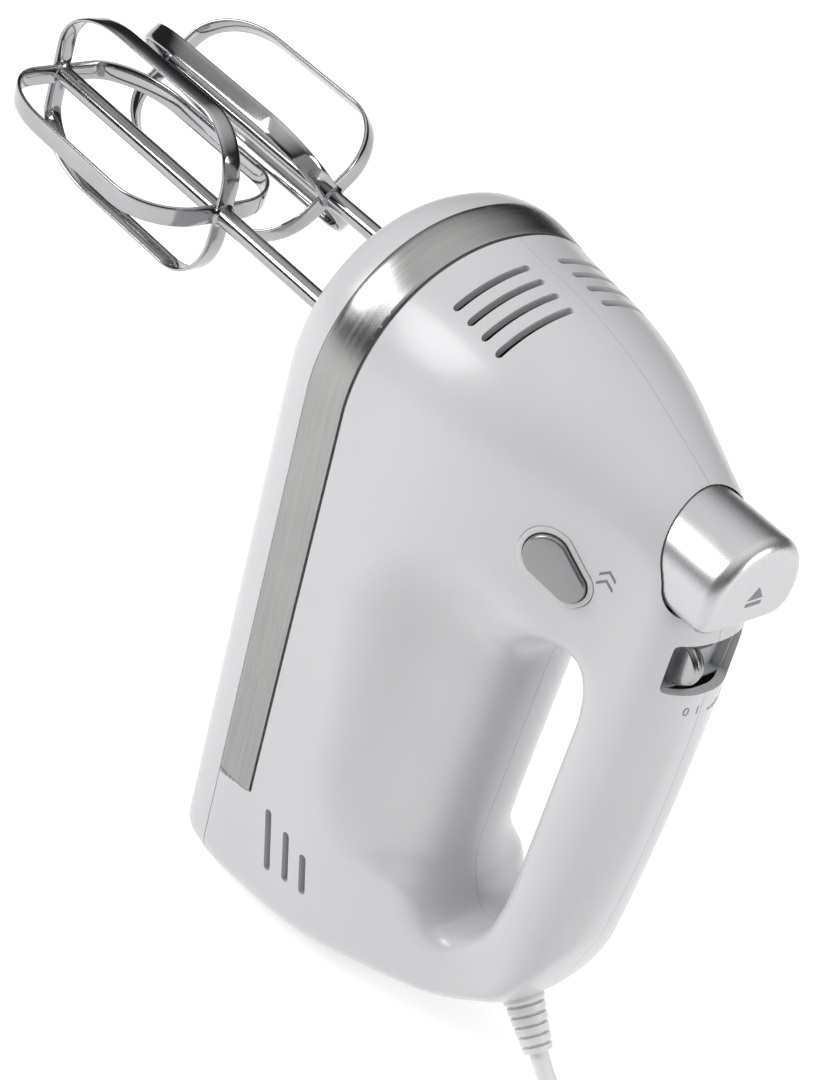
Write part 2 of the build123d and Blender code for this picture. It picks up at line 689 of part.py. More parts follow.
with BuildPart() as rear_bush:
    add(ring(Plane.XY.offset(57), 6.0, 2.5 + FIT, 4.0, [AXIS_SPOT]))
save(rear_bush, "rear_bush")
with BuildPart() as front_bush:
    add(ring(Plane.XY.offset(187.5), 5.0, 1.9 + FIT, 5.0, [AXIS_SPOT]))
save(front_bush, "front_bush")
with BuildPart() as middle_bush:
    add(ring(Plane.XY.offset(140), 5.0, 2.5 + FIT, 5.0, [AXIS_SPOT]))
save(middle_bush, "middle_bush")

BRUSH_Z = 69.0
with BuildPart() as brush_holders:
    for side in (-1, 1):
        with Locations((side * 14.5, MOTOR_Y, BRUSH_Z)):
            Box(9, 7, 8)
            Box(10, 5, 6, mode=Mode.SUBTRACT)
        with Locations((side * 18.5, MOTOR_Y, BRUSH_Z)):
            Box(1, 7, 8)
save(brush_holders, "brush_holders")

with BuildPart() as carbon_brushes:
    for side in (-1, 1):
        with Locations((side * 11.1, MOTOR_Y, BRUSH_Z)):
            Box(5.8, 4.8, 5.8)
save(carbon_brushes, "carbon_brushes")

with BuildPart() as brush_springs:
    for side in (-1, 1):
        with BuildSketch(Plane(origin=(side * 14.0, MOTOR_Y, BRUSH_Z), z_dir=(side, 0, 0))):
            Circle(1.9)
            Circle(1.3, mode=Mode.SUBTRACT)
        extrude(amount=4.0)
save(brush_springs, "brush_springs")

# ---------------------------------------------------------------- electrics and fasteners
with BuildPart() as circuit_board:
    with Locations((0, 21.0, 34)):
        Box(34, 1.6, 34)
save(circuit_board, "circuit_board")

with BuildPart() as capacitor:
    with Locations((7, 15.2, 32)):
        Box(9, 10, 18)
save(capacitor, "capacitor")

with BuildPart() as housing_screws:
    for x, z in [(side * x, z) for x, z in SHELL_BOSSES for side in (-1, 1)]:
        for radius, low, high in ((1.25, 6.0, BASE_LEVEL - 5), (3.0, BASE_LEVEL - 5, BASE_LEVEL - 3)):
            with BuildSketch(facing_y(low)):
                with Locations((x, -z)):
                    Circle(radius)
            extrude(amount=high - low)
save(housing_screws, "housing_screws")

with BuildPart() as shell_screws:
    for radius, low, high in ((1.25, -8.0, 12.0), (2.8, 12.0, 13.6)):
        with BuildSketch(Plane.YZ.offset(low)):
            with Locations(*JOIN_BOSSES):
                Circle(radius)
        extrude(amount=high - low)
save(shell_screws, "shell_screws")

with BuildPart() as strain_relief:
    with BuildSketch(exit_plane.offset(-6)):
        Circle(7.0)
    extrude(amount=2.5)
    with BuildSketch(exit_plane.offset(-3.5)):
        Circle(5.5)
    extrude(amount=4.5)
    with BuildSketch(exit_plane.offset(1)):
        Circle(5.5)
    with BuildSketch(exit_plane.offset(RELIEF_OUT)):
        Circle(3.9)
    loft()
    for rib in range(4):
        with BuildSketch(exit_plane.offset(3.2 + 2.8 * rib)):
            Circle(8)
            Circle(3.6 - 0.25 * rib, mode=Mode.SUBTRACT)
        extrude(amount=1.3, mode=Mode.SUBTRACT)
save(strain_relief, "strain_relief")

with BuildPart() as cord_clamp:
    with Locations((0, -66.0, 40.5)):
        Box(14, 4, 5)
save(cord_clamp, "cord_clamp")

# ---------------------------------------------------------------- cord, coil and plug
exit_point = Vector(*CORD_EXIT) + Vector(*CORD_WAY) * RELIEF_OUT
FLOOR_LIFT = CORD_D / 2 + 0.1
LEAD_ROUTE = (
    tuple(exit_point),
    tuple(Vector(*CORD_EXIT) + Vector(*CORD_WAY) * (RELIEF_OUT + 11)),
    (1.0, -108.0, 5.4),
    (4.0, -122.0, FLOOR_LIFT),
    (COIL_X + COIL_R, -137.0, FLOOR_LIFT),
    (COIL_X + COIL_R, COIL_Y, FLOOR_LIFT),
)
PLUG_HALF_HIGH = 6.9
TAIL_Y = COIL_Y - COIL_R - CORD_D      # where the cord leaves the coil, towards -X
TURN_BACK_R = 22.0                     # the tail turns back on itself round this radius
TURN_BACK_X = COIL_X - 10
TURN_BACK_SIDE = TURN_BACK_R * math.tan(math.radians(22.5))
PLUG_X = COIL_X
PLUG_Y = TAIL_Y - 2 * TURN_BACK_R
TAIL_ROUTE = (
    (COIL_X, TAIL_Y, FLOOR_LIFT),
    (TURN_BACK_X - TURN_BACK_SIDE, TAIL_Y, FLOOR_LIFT),
    (TURN_BACK_X - TURN_BACK_R, TAIL_Y - TURN_BACK_R + TURN_BACK_SIDE, FLOOR_LIFT),
    (TURN_BACK_X - TURN_BACK_R, TAIL_Y - TURN_BACK_R - TURN_BACK_SIDE, 4.0),
    (TURN_BACK_X - TURN_BACK_SIDE, PLUG_Y, PLUG_HALF_HIGH + 0.1),
    (PLUG_X, PLUG_Y, PLUG_HALF_HIGH + 0.1),
)


def cord_tube(name, route):
    """Plain tube of straight runs joined by tangent arcs; returns its length."""
    points = [Vector(*p) for p in route]
    runs = [(b - a).length for a, b in zip(points, points[1:])]
    radii = []
    for before, after, a, b, c in zip(runs, runs[1:], points, points[1:], points[2:]):
        turn = (b - a).get_angle(c - b)
        radii.append(0.45 * min(before, after) / math.tan(math.radians(turn) / 2))
    path = FilletPolyline(*points, radius=radii)
    with BuildPart() as tube:
        with BuildSketch(Plane(origin=path @ 0, z_dir=path % 0)):
            Circle(CORD_D / 2)
        sweep(path=path)
    save(tube, name)
    ideal = math.pi * (CORD_D / 2) ** 2 * path.length
    print(name, "length", round(path.length, 1), "runs", [round(r, 1) for r in runs],
          "radii", [round(r, 1) for r in radii], "volume share", round(tube.part.volume / ideal, 4))
    return path.length


lead_length = cord_tube("cord_lead", LEAD_ROUTE)
tail_length = cord_tube("cord_tail", TAIL_ROUTE)
COIL_HALF_WIDE = COIL_TURNS_WIDE * CORD_D / 2
COIL_HIGH = COIL_TURNS_HIGH * CORD_D
with BuildPart() as cord_coil:
    with BuildSketch(Plane(origin=(COIL_X, COIL_Y, 0.1), x_dir=(1, 0, 0), z_dir=(0, -1, 0))):
        with Locations((COIL_R, COIL_HIGH / 2)):
            RectangleRounded(2 * COIL_HALF_WIDE, COIL_HIGH, 2.4)
    revolve(axis=Axis((COIL_X, COIL_Y, 0), (0, 0, 1)))
save(cord_coil, "cord_coil")
coil_length = 2 * math.pi * COIL_R * (COIL_TURNS_WIDE * COIL_TURNS_HIGH + 0.25)
print("cord length from the strain relief to the plug", round(lead_length + coil_length + tail_length, 0))

PLUG_LONG = 35.0
PIN_LONG = 19.0


def plug_plane(reach):
    """Plane across the plug, reach beyond the cord's end: local x is Y, local y is Z, facing +X."""
    return Plane(origin=(PLUG_X + reach, PLUG_Y, PLUG_HALF_HIGH + 0.1), x_dir=(0, 1, 0), z_dir=(1, 0, 0))


with BuildPart() as plug_body:
    with BuildSketch(plug_plane(0)):
        RectangleRounded(9, 8, 3)
    with BuildSketch(plug_plane(13)):
        RectangleRounded(26, 2 * PLUG_HALF_HIGH, 5)
    loft()
    with BuildSketch(plug_plane(13)):
        RectangleRounded(26, 2 * PLUG_HALF_HIGH, 5)
    extrude(amount=PLUG_LONG - 13)
save(plug_body, "plug_body")

with BuildPart() as plug_pins:
    with BuildSketch(plug_plane(PLUG_LONG)):
        with Locations((-PLUG_PIN_APART / 2, 0), (PLUG_PIN_APART / 2, 0)):
            Circle(PLUG_PIN_R)
    extrude(amount=PIN_LONG)
    chamfer(plug_pins.faces().group_by(Axis.X)[-1].edges(), 0.6)
save(plug_pins, "plug_pins")
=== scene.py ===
import bpy
import bmesh
import json
import math
import numpy as np
from mathutils import Matrix, Vector


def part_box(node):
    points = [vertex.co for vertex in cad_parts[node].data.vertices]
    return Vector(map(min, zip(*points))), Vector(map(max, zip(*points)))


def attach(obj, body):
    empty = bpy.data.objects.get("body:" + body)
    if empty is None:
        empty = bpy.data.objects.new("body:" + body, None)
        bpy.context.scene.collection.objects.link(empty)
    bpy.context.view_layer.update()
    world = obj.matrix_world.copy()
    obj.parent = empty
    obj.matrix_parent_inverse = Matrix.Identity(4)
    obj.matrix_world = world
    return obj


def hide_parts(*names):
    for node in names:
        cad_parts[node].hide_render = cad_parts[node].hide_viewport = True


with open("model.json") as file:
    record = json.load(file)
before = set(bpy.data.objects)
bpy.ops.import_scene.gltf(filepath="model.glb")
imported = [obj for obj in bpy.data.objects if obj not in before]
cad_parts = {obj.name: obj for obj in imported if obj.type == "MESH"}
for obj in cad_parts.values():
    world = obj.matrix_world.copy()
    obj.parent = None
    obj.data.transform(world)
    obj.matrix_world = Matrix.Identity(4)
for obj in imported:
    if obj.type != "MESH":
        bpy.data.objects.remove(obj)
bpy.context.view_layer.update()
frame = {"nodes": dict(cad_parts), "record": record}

bl_info = {
    "name": "Hand mixer",
    "version": (1, 0, 0),
    "blender": (4, 5, 0),
    "location": "View3D > Sidebar > Mixer",
    "description": "Builds the skins, beaters, controls, cord and studio of a hand mixer on its CAD frame",
    "category": "Object",
}

MM = 0.001
HOUSING = "housing"

# ------------------------------------------------------------------ sizes in the CAD model, millimetres
WALL = 2.4
BASE_LEVEL = 30.0
BAND_LOW, BAND_HIGH, BAND_END_Z = 17.6, 6.0, 41.0
NOSE_ROUND, REAR_ROUND = 1.02, 0.55
BEATER_X, BEATER_Z = 18.5, 168.0
TIP_Y, HUB_Y, CAGE_R = 160.0, 85.2, 23.75
STRIP_WIDE, STRIP_THICK, SHAFT_R = 5.6, 1.0, 2.5
LEVELS = (
    (-91.0, 62.0, 152.0, 9.0, 9.0),
    (-84.0, 41.0, 174.0, 14.5, 14.5),
    (-74.0, 27.5, 186.5, 17.5, 16.0),
    (-60.0, 17.0, 193.0, 22.5, 17.5),
    (-45.0, 10.5, 199.0, 29.0, 21.0),
    (-20.0, 2.5, 205.0, 37.0, 26.5),
    (6.0, -0.8, 207.6, 40.6, 29.0),
    (17.6, -0.6, 209.0, 42.1, 30.0),
    (30.0, 0.8, 206.0, 39.6, 28.0),
)
HAND_OPENING = (
    (-48.0, 112.0), (-48.0, 125.0), (-54.0, 135.5), (-65.0, 138.5), (-69.5, 128.0), (-69.5, 112.0),
    (-69.5, 78.0), (-69.5, 62.0), (-66.0, 47.0), (-57.5, 39.0), (-50.0, 45.0), (-48.0, 58.0), (-48.0, 74.0),
)
SCOOP_X, SCOOP_Y, SCOOP_R, SCOOP_Z = 52.0, -46.0, 34.0, (70.0, 118.0)
TURBO_POINT = Vector((-24.0, -56.5, 160.0))
TURBO_OUT = Vector((-0.905, -0.425, 0.0)).normalized()
KNOB_FLAT_Z, KNOB_R, KNOB_END, KNOB_FOOT = 164.0, 15.5, -93.0, -68.0
SLIDER_X, SLIDER_Z = -6.0, 150.0
WINDOW_X, WINDOW_Y, WINDOW_Z = -0.75, -83.0, SLIDER_Z + 0.2
CORD_D = 5.0
CORD_EXIT = Vector((0.0, -76.5, 30.0))
CORD_WAY = Vector((0.0, -0.722, -0.692)).normalized()
RELIEF_OUT = 15.0
COIL_X, COIL_Y = -22.0, -152.0
PLUG_X, PLUG_Y, PLUG_Z = -22.0, -229.0, 7.0
FLOOR_LIFT = CORD_D / 2 + 0.1


# ------------------------------------------------------------------ shader maths
class Value:
    """A node socket that adds Math nodes when it is used in an expression."""

    def __init__(self, tree, socket):
        self.tree = tree
        self.socket = socket

    def maths(self, operation, first, second):
        return self.tree.node("ShaderNodeMath", {"operation": operation}, {0: first, 1: second})

    def __add__(self, other):
        return self.maths("ADD", self, other)

    def __radd__(self, other):
        return self.maths("ADD", other, self)

    def __sub__(self, other):
        return self.maths("SUBTRACT", self, other)

    def __rsub__(self, other):
        return self.maths("SUBTRACT", other, self)

    def __mul__(self, other):
        return self.maths("MULTIPLY", self, other)

    def __rmul__(self, other):
        return self.maths("MULTIPLY", other, self)


class Finish:
    """A material being built: its Principled shader and a method that adds any other node."""

    def __init__(self, name):
        self.material = bpy.data.materials.new(name)
        self.material.use_nodes = True
        self.links = self.material.node_tree.links
        self.shader = self.material.node_tree.nodes["Principled BSDF"]

    def node(self, kind, settings=None, inputs=None, output=0):
        """A node of a kind, with its settings set first and then the values or links of its sockets."""
        made = self.material.node_tree.nodes.new(kind)
        for key, value in (settings or {}).items():
            if key == "stops":
                while len(made.color_ramp.elements) < len(value):
                    made.color_ramp.elements.new(0.5)
                for element, (place, colour) in zip(made.color_ramp.elements, value):
                    element.position = place
                    element.color = (*colour, 1)
            else:
                setattr(made, key, value)
        for key, value in (inputs or {}).items():
            self.feed(made.inputs[key], value)
        return Value(self, made.outputs[output])

    def feed(self, socket, value):
        """Links or sets one socket."""
        if isinstance(value, Value):
            self.links.new(value.socket, socket)
        else:
            socket.default_value = value

    def surface(self, **inputs):
        """Sets or links the shader's own sockets, named with underscores for spaces."""
        for key, value in inputs.items():
            self.feed(self.shader.inputs[key.replace("_", " ")], value)

    def place(self, scale=(1, 1, 1), turn=(0, 0, 0)):
        """Object coordinates, in metres, stretched and turned."""
        where = self.node("ShaderNodeTexCoord", output=3)
        return self.node("ShaderNodeMapping", {}, {"Vector": where, "Scale": scale, "Rotation": turn})

    def noise(self, scale, detail=3.0, rough=0.5, stretch=(1, 1, 1), turn=(0, 0, 0)):
        """Noise value from 0 to 1 at a scale per metre."""
        return self.node("ShaderNodeTexNoise", {}, {
            "Vector": self.place(stretch, turn), "Scale": scale, "Detail": detail, "Roughness": rough})

    def tint(self, factor, low, high):
        """A colour between low and high."""
        return self.node("ShaderNodeMix", {"data_type": "RGBA"}, {
            0: factor, 6: (*low, 1), 7: (*high, 1)}, output=2)

    def bump(self, height, strength, distance):
        """Normal from a height."""
        return self.node("ShaderNodeBump", {}, {
            "Height": height, "Strength": strength, "Distance": distance})


# Depths of the surface relief, in metres.
GRAIN_DEEP, SCRATCH_DEEP, HAIRLINE_DEEP, STRIPE_DEEP = 0.00004, 0.00003, 0.00002, 0.00012


def moulded(name, low, high, rough, coat=0.0, grain=0.15, fine=2600.0):
    """Injection-moulded plastic: faint cloudiness, spark-eroded grain and uneven gloss."""
    f = Finish(name)
    cloud = f.noise(34.0, 4.0)
    grit = f.noise(fine, 2.0)
    f.surface(Base_Color=f.tint(cloud, low, high),
              Roughness=rough + (cloud - 0.5) * 0.10 + (grit - 0.5) * 0.06,
              Normal=f.bump(grit * 0.7 + f.noise(420.0, 2.0) * 0.3, grain, GRAIN_DEEP),
              Coat_Weight=coat, Coat_Roughness=0.12)
    return f.material


def brushed(name, low, high, rough, stretch, depth=0.25):
    """Brushed metal with its scratches drawn out along one way."""
    f = Finish(name)
    hair = f.noise(900.0, 3.0, 0.7, stretch)
    broad = f.noise(60.0, 2.0)
    f.surface(Base_Color=f.tint(hair * 0.7 + broad * 0.3, low, high), Metallic=1.0,
              Roughness=rough + (hair - 0.5) * 0.22, Normal=f.bump(hair, depth, SCRATCH_DEEP))
    return f.material


def polished(name, low, high, rough):
    """Polished or plated steel with faint smears and hairline scratches."""
    f = Finish(name)
    smear = f.noise(70.0, 4.0)
    hair = f.noise(700.0, 3.0, 0.6, (1, 0.05, 1))
    f.surface(Base_Color=f.tint(smear, low, high), Metallic=1.0,
              Roughness=rough + smear * 0.06 + (hair - 0.5) * 0.04, Normal=f.bump(hair, 0.06, HAIRLINE_DEEP))
    return f.material


def satin_silver(name, low, high, rough):
    """Silver paint: metal flake under a clear coat."""
    f = Finish(name)
    flake = f.noise(5200.0, 1.0)
    cloud = f.noise(90.0, 3.0)
    f.surface(Base_Color=f.tint(flake * 0.6 + cloud * 0.4, low, high), Metallic=0.85,
              Roughness=rough + (flake - 0.5) * 0.16 + (cloud - 0.5) * 0.08,
              Normal=f.bump(flake, 0.12, SCRATCH_DEEP), Coat_Weight=0.25, Coat_Roughness=0.2)
    return f.material


def striped(name, low, high, rough, axis, spacing, metallic=0.0, depth=0.6):
    """Layers or wire turns: even stripes across one axis, with slight unevenness."""
    f = Finish(name)
    waves = {"Vector": f.place(), "Scale": math.pi / (10 * spacing * MM), "Distortion": 0.4, "Detail": 1.0}
    stripe = f.node("ShaderNodeTexWave", {"wave_type": "BANDS", "bands_direction": axis}, waves, output=1)
    cloud = f.noise(120.0, 3.0)
    f.surface(Base_Color=f.tint(stripe * 0.7 + cloud * 0.3, low, high), Metallic=metallic,
              Roughness=rough + (cloud - 0.5) * 0.15, Normal=f.bump(stripe, depth, STRIPE_DEEP))
    return f.material


def shades(colour, spread):
    """The darker and the lighter shade of a colour, spread either side of it."""
    return tuple(value - spread for value in colour), tuple(value + spread for value in colour)


def make_finishes(settings):
    """Every finish of the mixer, by its name in the record's material slots, and the marks' ink."""
    white = shades(settings.housing_colour, 0.025)
    return {
        "white_plastic": moulded("white_plastic", *white, 0.30, 0.25, 0.10),
        "base_plastic": moulded("base_plastic", *white, 0.32, 0.2, 0.10),
        "band_steel": brushed("band_steel", *shades(settings.band_colour, 0.09), 0.27, (0.02, 1, 0.02)),
        "beater_steel": polished("beater_steel", *shades(settings.beater_colour, 0.06), 0.08),
        "knob_silver": satin_silver("knob_silver", *shades(settings.knob_colour, 0.06), 0.30),
        "button_silver": satin_silver("button_silver", (0.22, 0.22, 0.225), (0.32, 0.32, 0.325), 0.33),
        "slider_chrome": polished("slider_chrome", (0.34, 0.34, 0.345), (0.46, 0.46, 0.465), 0.18),
        "grey_plastic": moulded("grey_plastic", (0.44, 0.45, 0.46), (0.52, 0.53, 0.54), 0.45),
        "cord_white": moulded("cord_white", *shades(settings.cord_colour, 0.04), 0.42, 0.0, 0.25, 1800.0),
        "frame_plastic": moulded("frame_plastic", (0.05, 0.05, 0.055), (0.09, 0.09, 0.10), 0.5),
        "nylon": moulded("nylon", (0.66, 0.62, 0.50), (0.76, 0.73, 0.62), 0.42),
        "bronze": polished("bronze", (0.42, 0.26, 0.12), (0.58, 0.38, 0.18), 0.3),
        "lamination": striped("lamination", (0.10, 0.10, 0.11), (0.30, 0.30, 0.31), 0.45, "Z", 0.7, 0.7),
        "copper_wire": striped("copper_wire", (0.34, 0.12, 0.04), (0.66, 0.30, 0.12), 0.3, "DIAGONAL", 0.6,
                               0.9),
        "steel": polished("steel", (0.36, 0.36, 0.37), (0.56, 0.56, 0.57), 0.25),
        "carbon": moulded("carbon", (0.02, 0.02, 0.022), (0.05, 0.05, 0.052), 0.5),
        "board": moulded("board", (0.02, 0.12, 0.05), (0.04, 0.20, 0.08), 0.4),
        "mark_ink": moulded("mark_ink", (0.16, 0.16, 0.17), (0.22, 0.22, 0.23), 0.5),
    }


FINISHES = {}


# ------------------------------------------------------------------ mesh helpers
def placed(name, data):
    """An object in the scene for a mesh, curve, lamp or camera."""
    made = bpy.data.objects.new(name, data)
    bpy.context.scene.collection.objects.link(made)
    return made


def mesh_piece(name, points, faces, finish, smooth=True):
    """A mesh object from points in millimetres."""
    mesh = bpy.data.meshes.new(name)
    mesh.from_pydata([tuple(float(v) * MM for v in p) for p in points], [], [tuple(f) for f in faces])
    mesh.validate()
    mesh.update()
    piece = placed(name, mesh)
    mesh.materials.append(FINISHES[finish])
    for polygon in mesh.polygons:
        polygon.use_smooth = smooth
    return piece


def outward(piece):
    """Merges doubles and turns every face outwards."""
    work = bmesh.new()
    work.from_mesh(piece.data)
    bmesh.ops.remove_doubles(work, verts=work.verts, dist=1e-7)
    bmesh.ops.recalc_face_normals(work, faces=work.faces)
    work.to_mesh(piece.data)
    work.free()
    return piece


def crease(piece, degrees=32):
    """Shades smooth but keeps edges sharper than this angle crisp."""
    piece.data.shade_smooth()
    piece.data.set_sharp_from_angle(angle=math.radians(degrees))
    return piece


def settle(piece):
    """Applies every modifier, so that the piece is a plain mesh."""
    graph = bpy.context.evaluated_depsgraph_get()
    done = bpy.data.meshes.new_from_object(piece.evaluated_get(graph), preserve_all_data_layers=True,
                                           depsgraph=graph)
    piece.modifiers.clear()
    old = piece.data
    piece.data = done
    done.name = piece.name
    bpy.data.meshes.remove(old)
    return piece


def add_modifier(piece, kind, **settings):
    """Adds a modifier with its settings."""
    made = piece.modifiers.new(kind.title(), kind)
    for key, value in settings.items():
        setattr(made, key, value)
    return made


def bevel(piece, width, segments=2, degrees=40):
    """Rounds edges sharper than an angle."""
    add_modifier(piece, "BEVEL", width=width * MM, segments=segments, limit_method="ANGLE",
                 angle_limit=math.radians(degrees), harden_normals=False)
    return settle(piece)


def rings_mesh(name, rings, finish, close_start=True, close_end=True, closed=False):
    """A skin over rings of equally many points; a ring's own points close on themselves."""
    count = len(rings[0])
    points = [p for ring in rings for p in ring]
    faces = []
    spans = len(rings) if closed else len(rings) - 1
    for r in range(spans):
        low, high = r * count, ((r + 1) % len(rings)) * count
        faces += [(low + i, low + (i + 1) % count, high + (i + 1) % count, high + i) for i in range(count)]
    if not closed and close_start:
        faces.append(tuple(range(count - 1, -1, -1)))
    if not closed and close_end:
        faces.append(tuple(range((len(rings) - 1) * count, len(rings) * count)))
    return outward(mesh_piece(name, points, faces, finish))


def remove(piece):
    """Deletes a helper object."""
    bpy.data.objects.remove(piece, do_unlink=True)


def join(name, pieces):
    """Joins mesh pieces into the first one."""
    work = bmesh.new()
    materials = []
    for piece in pieces:
        before = len(work.faces)
        work.from_mesh(piece.data)
        work.faces.ensure_lookup_table()
        own = piece.data.materials[0]
        if own not in materials:
            materials.append(own)
        for face in work.faces[before:]:
            face.material_index = materials.index(own)
    mesh = bpy.data.meshes.new(name)
    work.to_mesh(mesh)
    work.free()
    for material in materials:
        mesh.materials.append(material)
    joined = placed(name, mesh)
    for piece in pieces:
        remove(piece)
    return joined


def cut(piece, cutters):
    """Cuts closed cutters out of a piece."""
    for cutter in cutters:
        add_modifier(piece, "BOOLEAN", operation="DIFFERENCE", solver="EXACT", object=cutter)
    settle(piece)
    return piece


# ------------------------------------------------------------------ outlines
def polar_outline(distance, centre, count):
    """Points of a closed outline where distance(x, y) is nought, seen from a centre inside it."""
    angles = np.linspace(0, 2 * np.pi, count, endpoint=False)
    low, high = np.zeros(count), np.full(count, 60.0)
    for _ in range(40):
        middle = (low + high) / 2
        inside = distance(centre[0] + middle * np.cos(angles), centre[1] + middle * np.sin(angles)) < 0
        low, high = np.where(inside, middle, low), np.where(inside, high, middle)
    return np.stack([centre[0] + low * np.cos(angles), centre[1] + low * np.sin(angles)], 1)


def smooth_max(a, b, k):
    """Greater of two fields, rounded over k."""
    h = np.clip(0.5 + 0.5 * (a - b) / k, 0, 1)
    return b + (a - b) * h + k * h * (1 - h)


KNOB_MIDDLE = KNOB_FLAT_Z + KNOB_R * 0.55


def knob_distance(x, z):
    """Signed distance to the eject knob's D-shaped outline."""
    round_side = np.where(z > KNOB_MIDDLE, np.hypot(x, z - KNOB_MIDDLE), np.abs(x)) - KNOB_R
    return smooth_max(round_side, KNOB_FLAT_Z - z, 6.0)


def egg_distance(a, b):
    """Signed distance to the turbo button's egg-shaped outline."""
    wide, narrow = (-3.2, 2.0, 6.0), (3.7, -2.2, 4.4)
    run = (narrow[0] - wide[0], narrow[1] - wide[1])
    share = np.clip(((a - wide[0]) * run[0] + (b - wide[1]) * run[1]) / (run[0] ** 2 + run[1] ** 2), 0, 1)
    reach = np.hypot(a - wide[0] - share * run[0], b - wide[1] - share * run[1])
    return reach - (wide[2] + share * (narrow[2] - wide[2]))


def grown(distance, amount):
    """The same outline, grown by an amount."""
    return lambda a, b: distance(a, b) - amount


# ------------------------------------------------------------------ housing form
def spline(knots, values):
    """Natural cubic spline through values at rising knots, as a function of an array."""
    knots, values = np.array(knots, float), np.array(values, float)
    gaps = np.diff(knots)
    slopes = np.diff(values) / gaps
    size = len(knots)
    matrix, right = np.eye(size), np.zeros(size)
    for i in range(1, size - 1):
        matrix[i, i - 1:i + 2] = gaps[i - 1], 2 * (gaps[i - 1] + gaps[i]), gaps[i]
        right[i] = 6 * (slopes[i] - slopes[i - 1])
    bend = np.linalg.solve(matrix, right)

    def at(x):
        x = np.clip(x, knots[0], knots[-1])
        i = np.clip(np.searchsorted(knots, x) - 1, 0, size - 2)
        g, a, b = gaps[i], knots[i + 1] - x, x - knots[i]
        return (bend[i] * a ** 3 + bend[i + 1] * b ** 3) / (6 * g) + (
            values[i] / g - bend[i] * g / 6) * a + (values[i + 1] / g - bend[i + 1] * g / 6) * b
    return at


LEVEL_CURVES = [spline([level[0] for level in LEVELS], [level[n] for level in LEVELS]) for n in range(1, 5)]
PLAN_POWER = 2.15


def plan_distance(x, y, z):
    """Distance, roughly, outside the housing's plan outline at each level y."""
    heel, nose, front, back = [curve(y) for curve in LEVEL_CURVES]
    front_z = nose - NOSE_ROUND * front
    back_z = heel + REAR_ROUND * back
    share = np.clip((z - back_z) / (front_z - back_z), 0, 1)
    wide = back + (front - back) * share
    past = np.maximum((z - front_z) / (NOSE_ROUND * front), (back_z - z) / (REAR_ROUND * back))
    past = np.maximum(past, 0)
    across = np.abs(x) / wide
    return ((across ** PLAN_POWER + past ** PLAN_POWER + 1e-12) ** (1 / PLAN_POWER) - 1) * wide


def softened(corners, rounds):
    """Closed outline with its corners cut again and again until they are round."""
    for _ in range(rounds):
        corners = [tuple(p + (q - p) * share for p, q in zip(a, b))
                   for a, b in zip(corners, corners[1:] + corners[:1]) for share in (0.25, 0.75)]
    return corners


OPENING_OUTLINE = softened(HAND_OPENING, 2)


def opening_distance(y, z):
    """Signed distance to the hand opening's rounded outline, seen from the side."""
    nearest = np.full(np.broadcast(y, z).shape, 1e9)
    inside = np.zeros(nearest.shape, bool)
    corners = OPENING_OUTLINE
    for (y0, z0), (y1, z1) in zip(corners, corners[1:] + corners[:1]):
        dy, dz = y1 - y0, z1 - z0
        share = np.clip(((y - y0) * dy + (z - z0) * dz) / (dy * dy + dz * dz), 0, 1)
        nearest = np.minimum(nearest, np.hypot(y - y0 - share * dy, z - z0 - share * dz))
        crosses = (z0 > z) != (z1 > z)
        inside ^= crosses & (y < (z - z0) * dy / (dz if dz else 1e-9) + y0)
    return np.where(inside, -nearest, nearest)


def housing_distance(x, y, z):
    """Field that is nought on the housing's outside, with its crowned grip, scoops and hand opening."""
    crown = -y - (92.6 - 0.0011 * (z - 105.0) ** 2 - 0.010 * x ** 2)
    body = smooth_max(plan_distance(x, y, z), y - BASE_LEVEL, 6.0)
    body = smooth_max(body, crown, 7.0)
    body = smooth_max(body, -z, 1.2)
    reach_z = z - np.clip(z, *SCOOP_Z)
    scoop = np.sqrt((np.abs(x) - SCOOP_X) ** 2 + (y - SCOOP_Y) ** 2 + reach_z ** 2) - SCOOP_R
    body = smooth_max(body, -scoop, 7.0)
    ridge = smooth_max(y + 49.0 - 0.028 * x ** 2, -62.0 - y, 4.0)
    ridge = smooth_max(ridge, np.abs(z - 88.0) - 36.0, 10.0)
    body = smooth_max(body, -ridge, 8.0)
    return smooth_max(body, -opening_distance(y, z), 8.0)


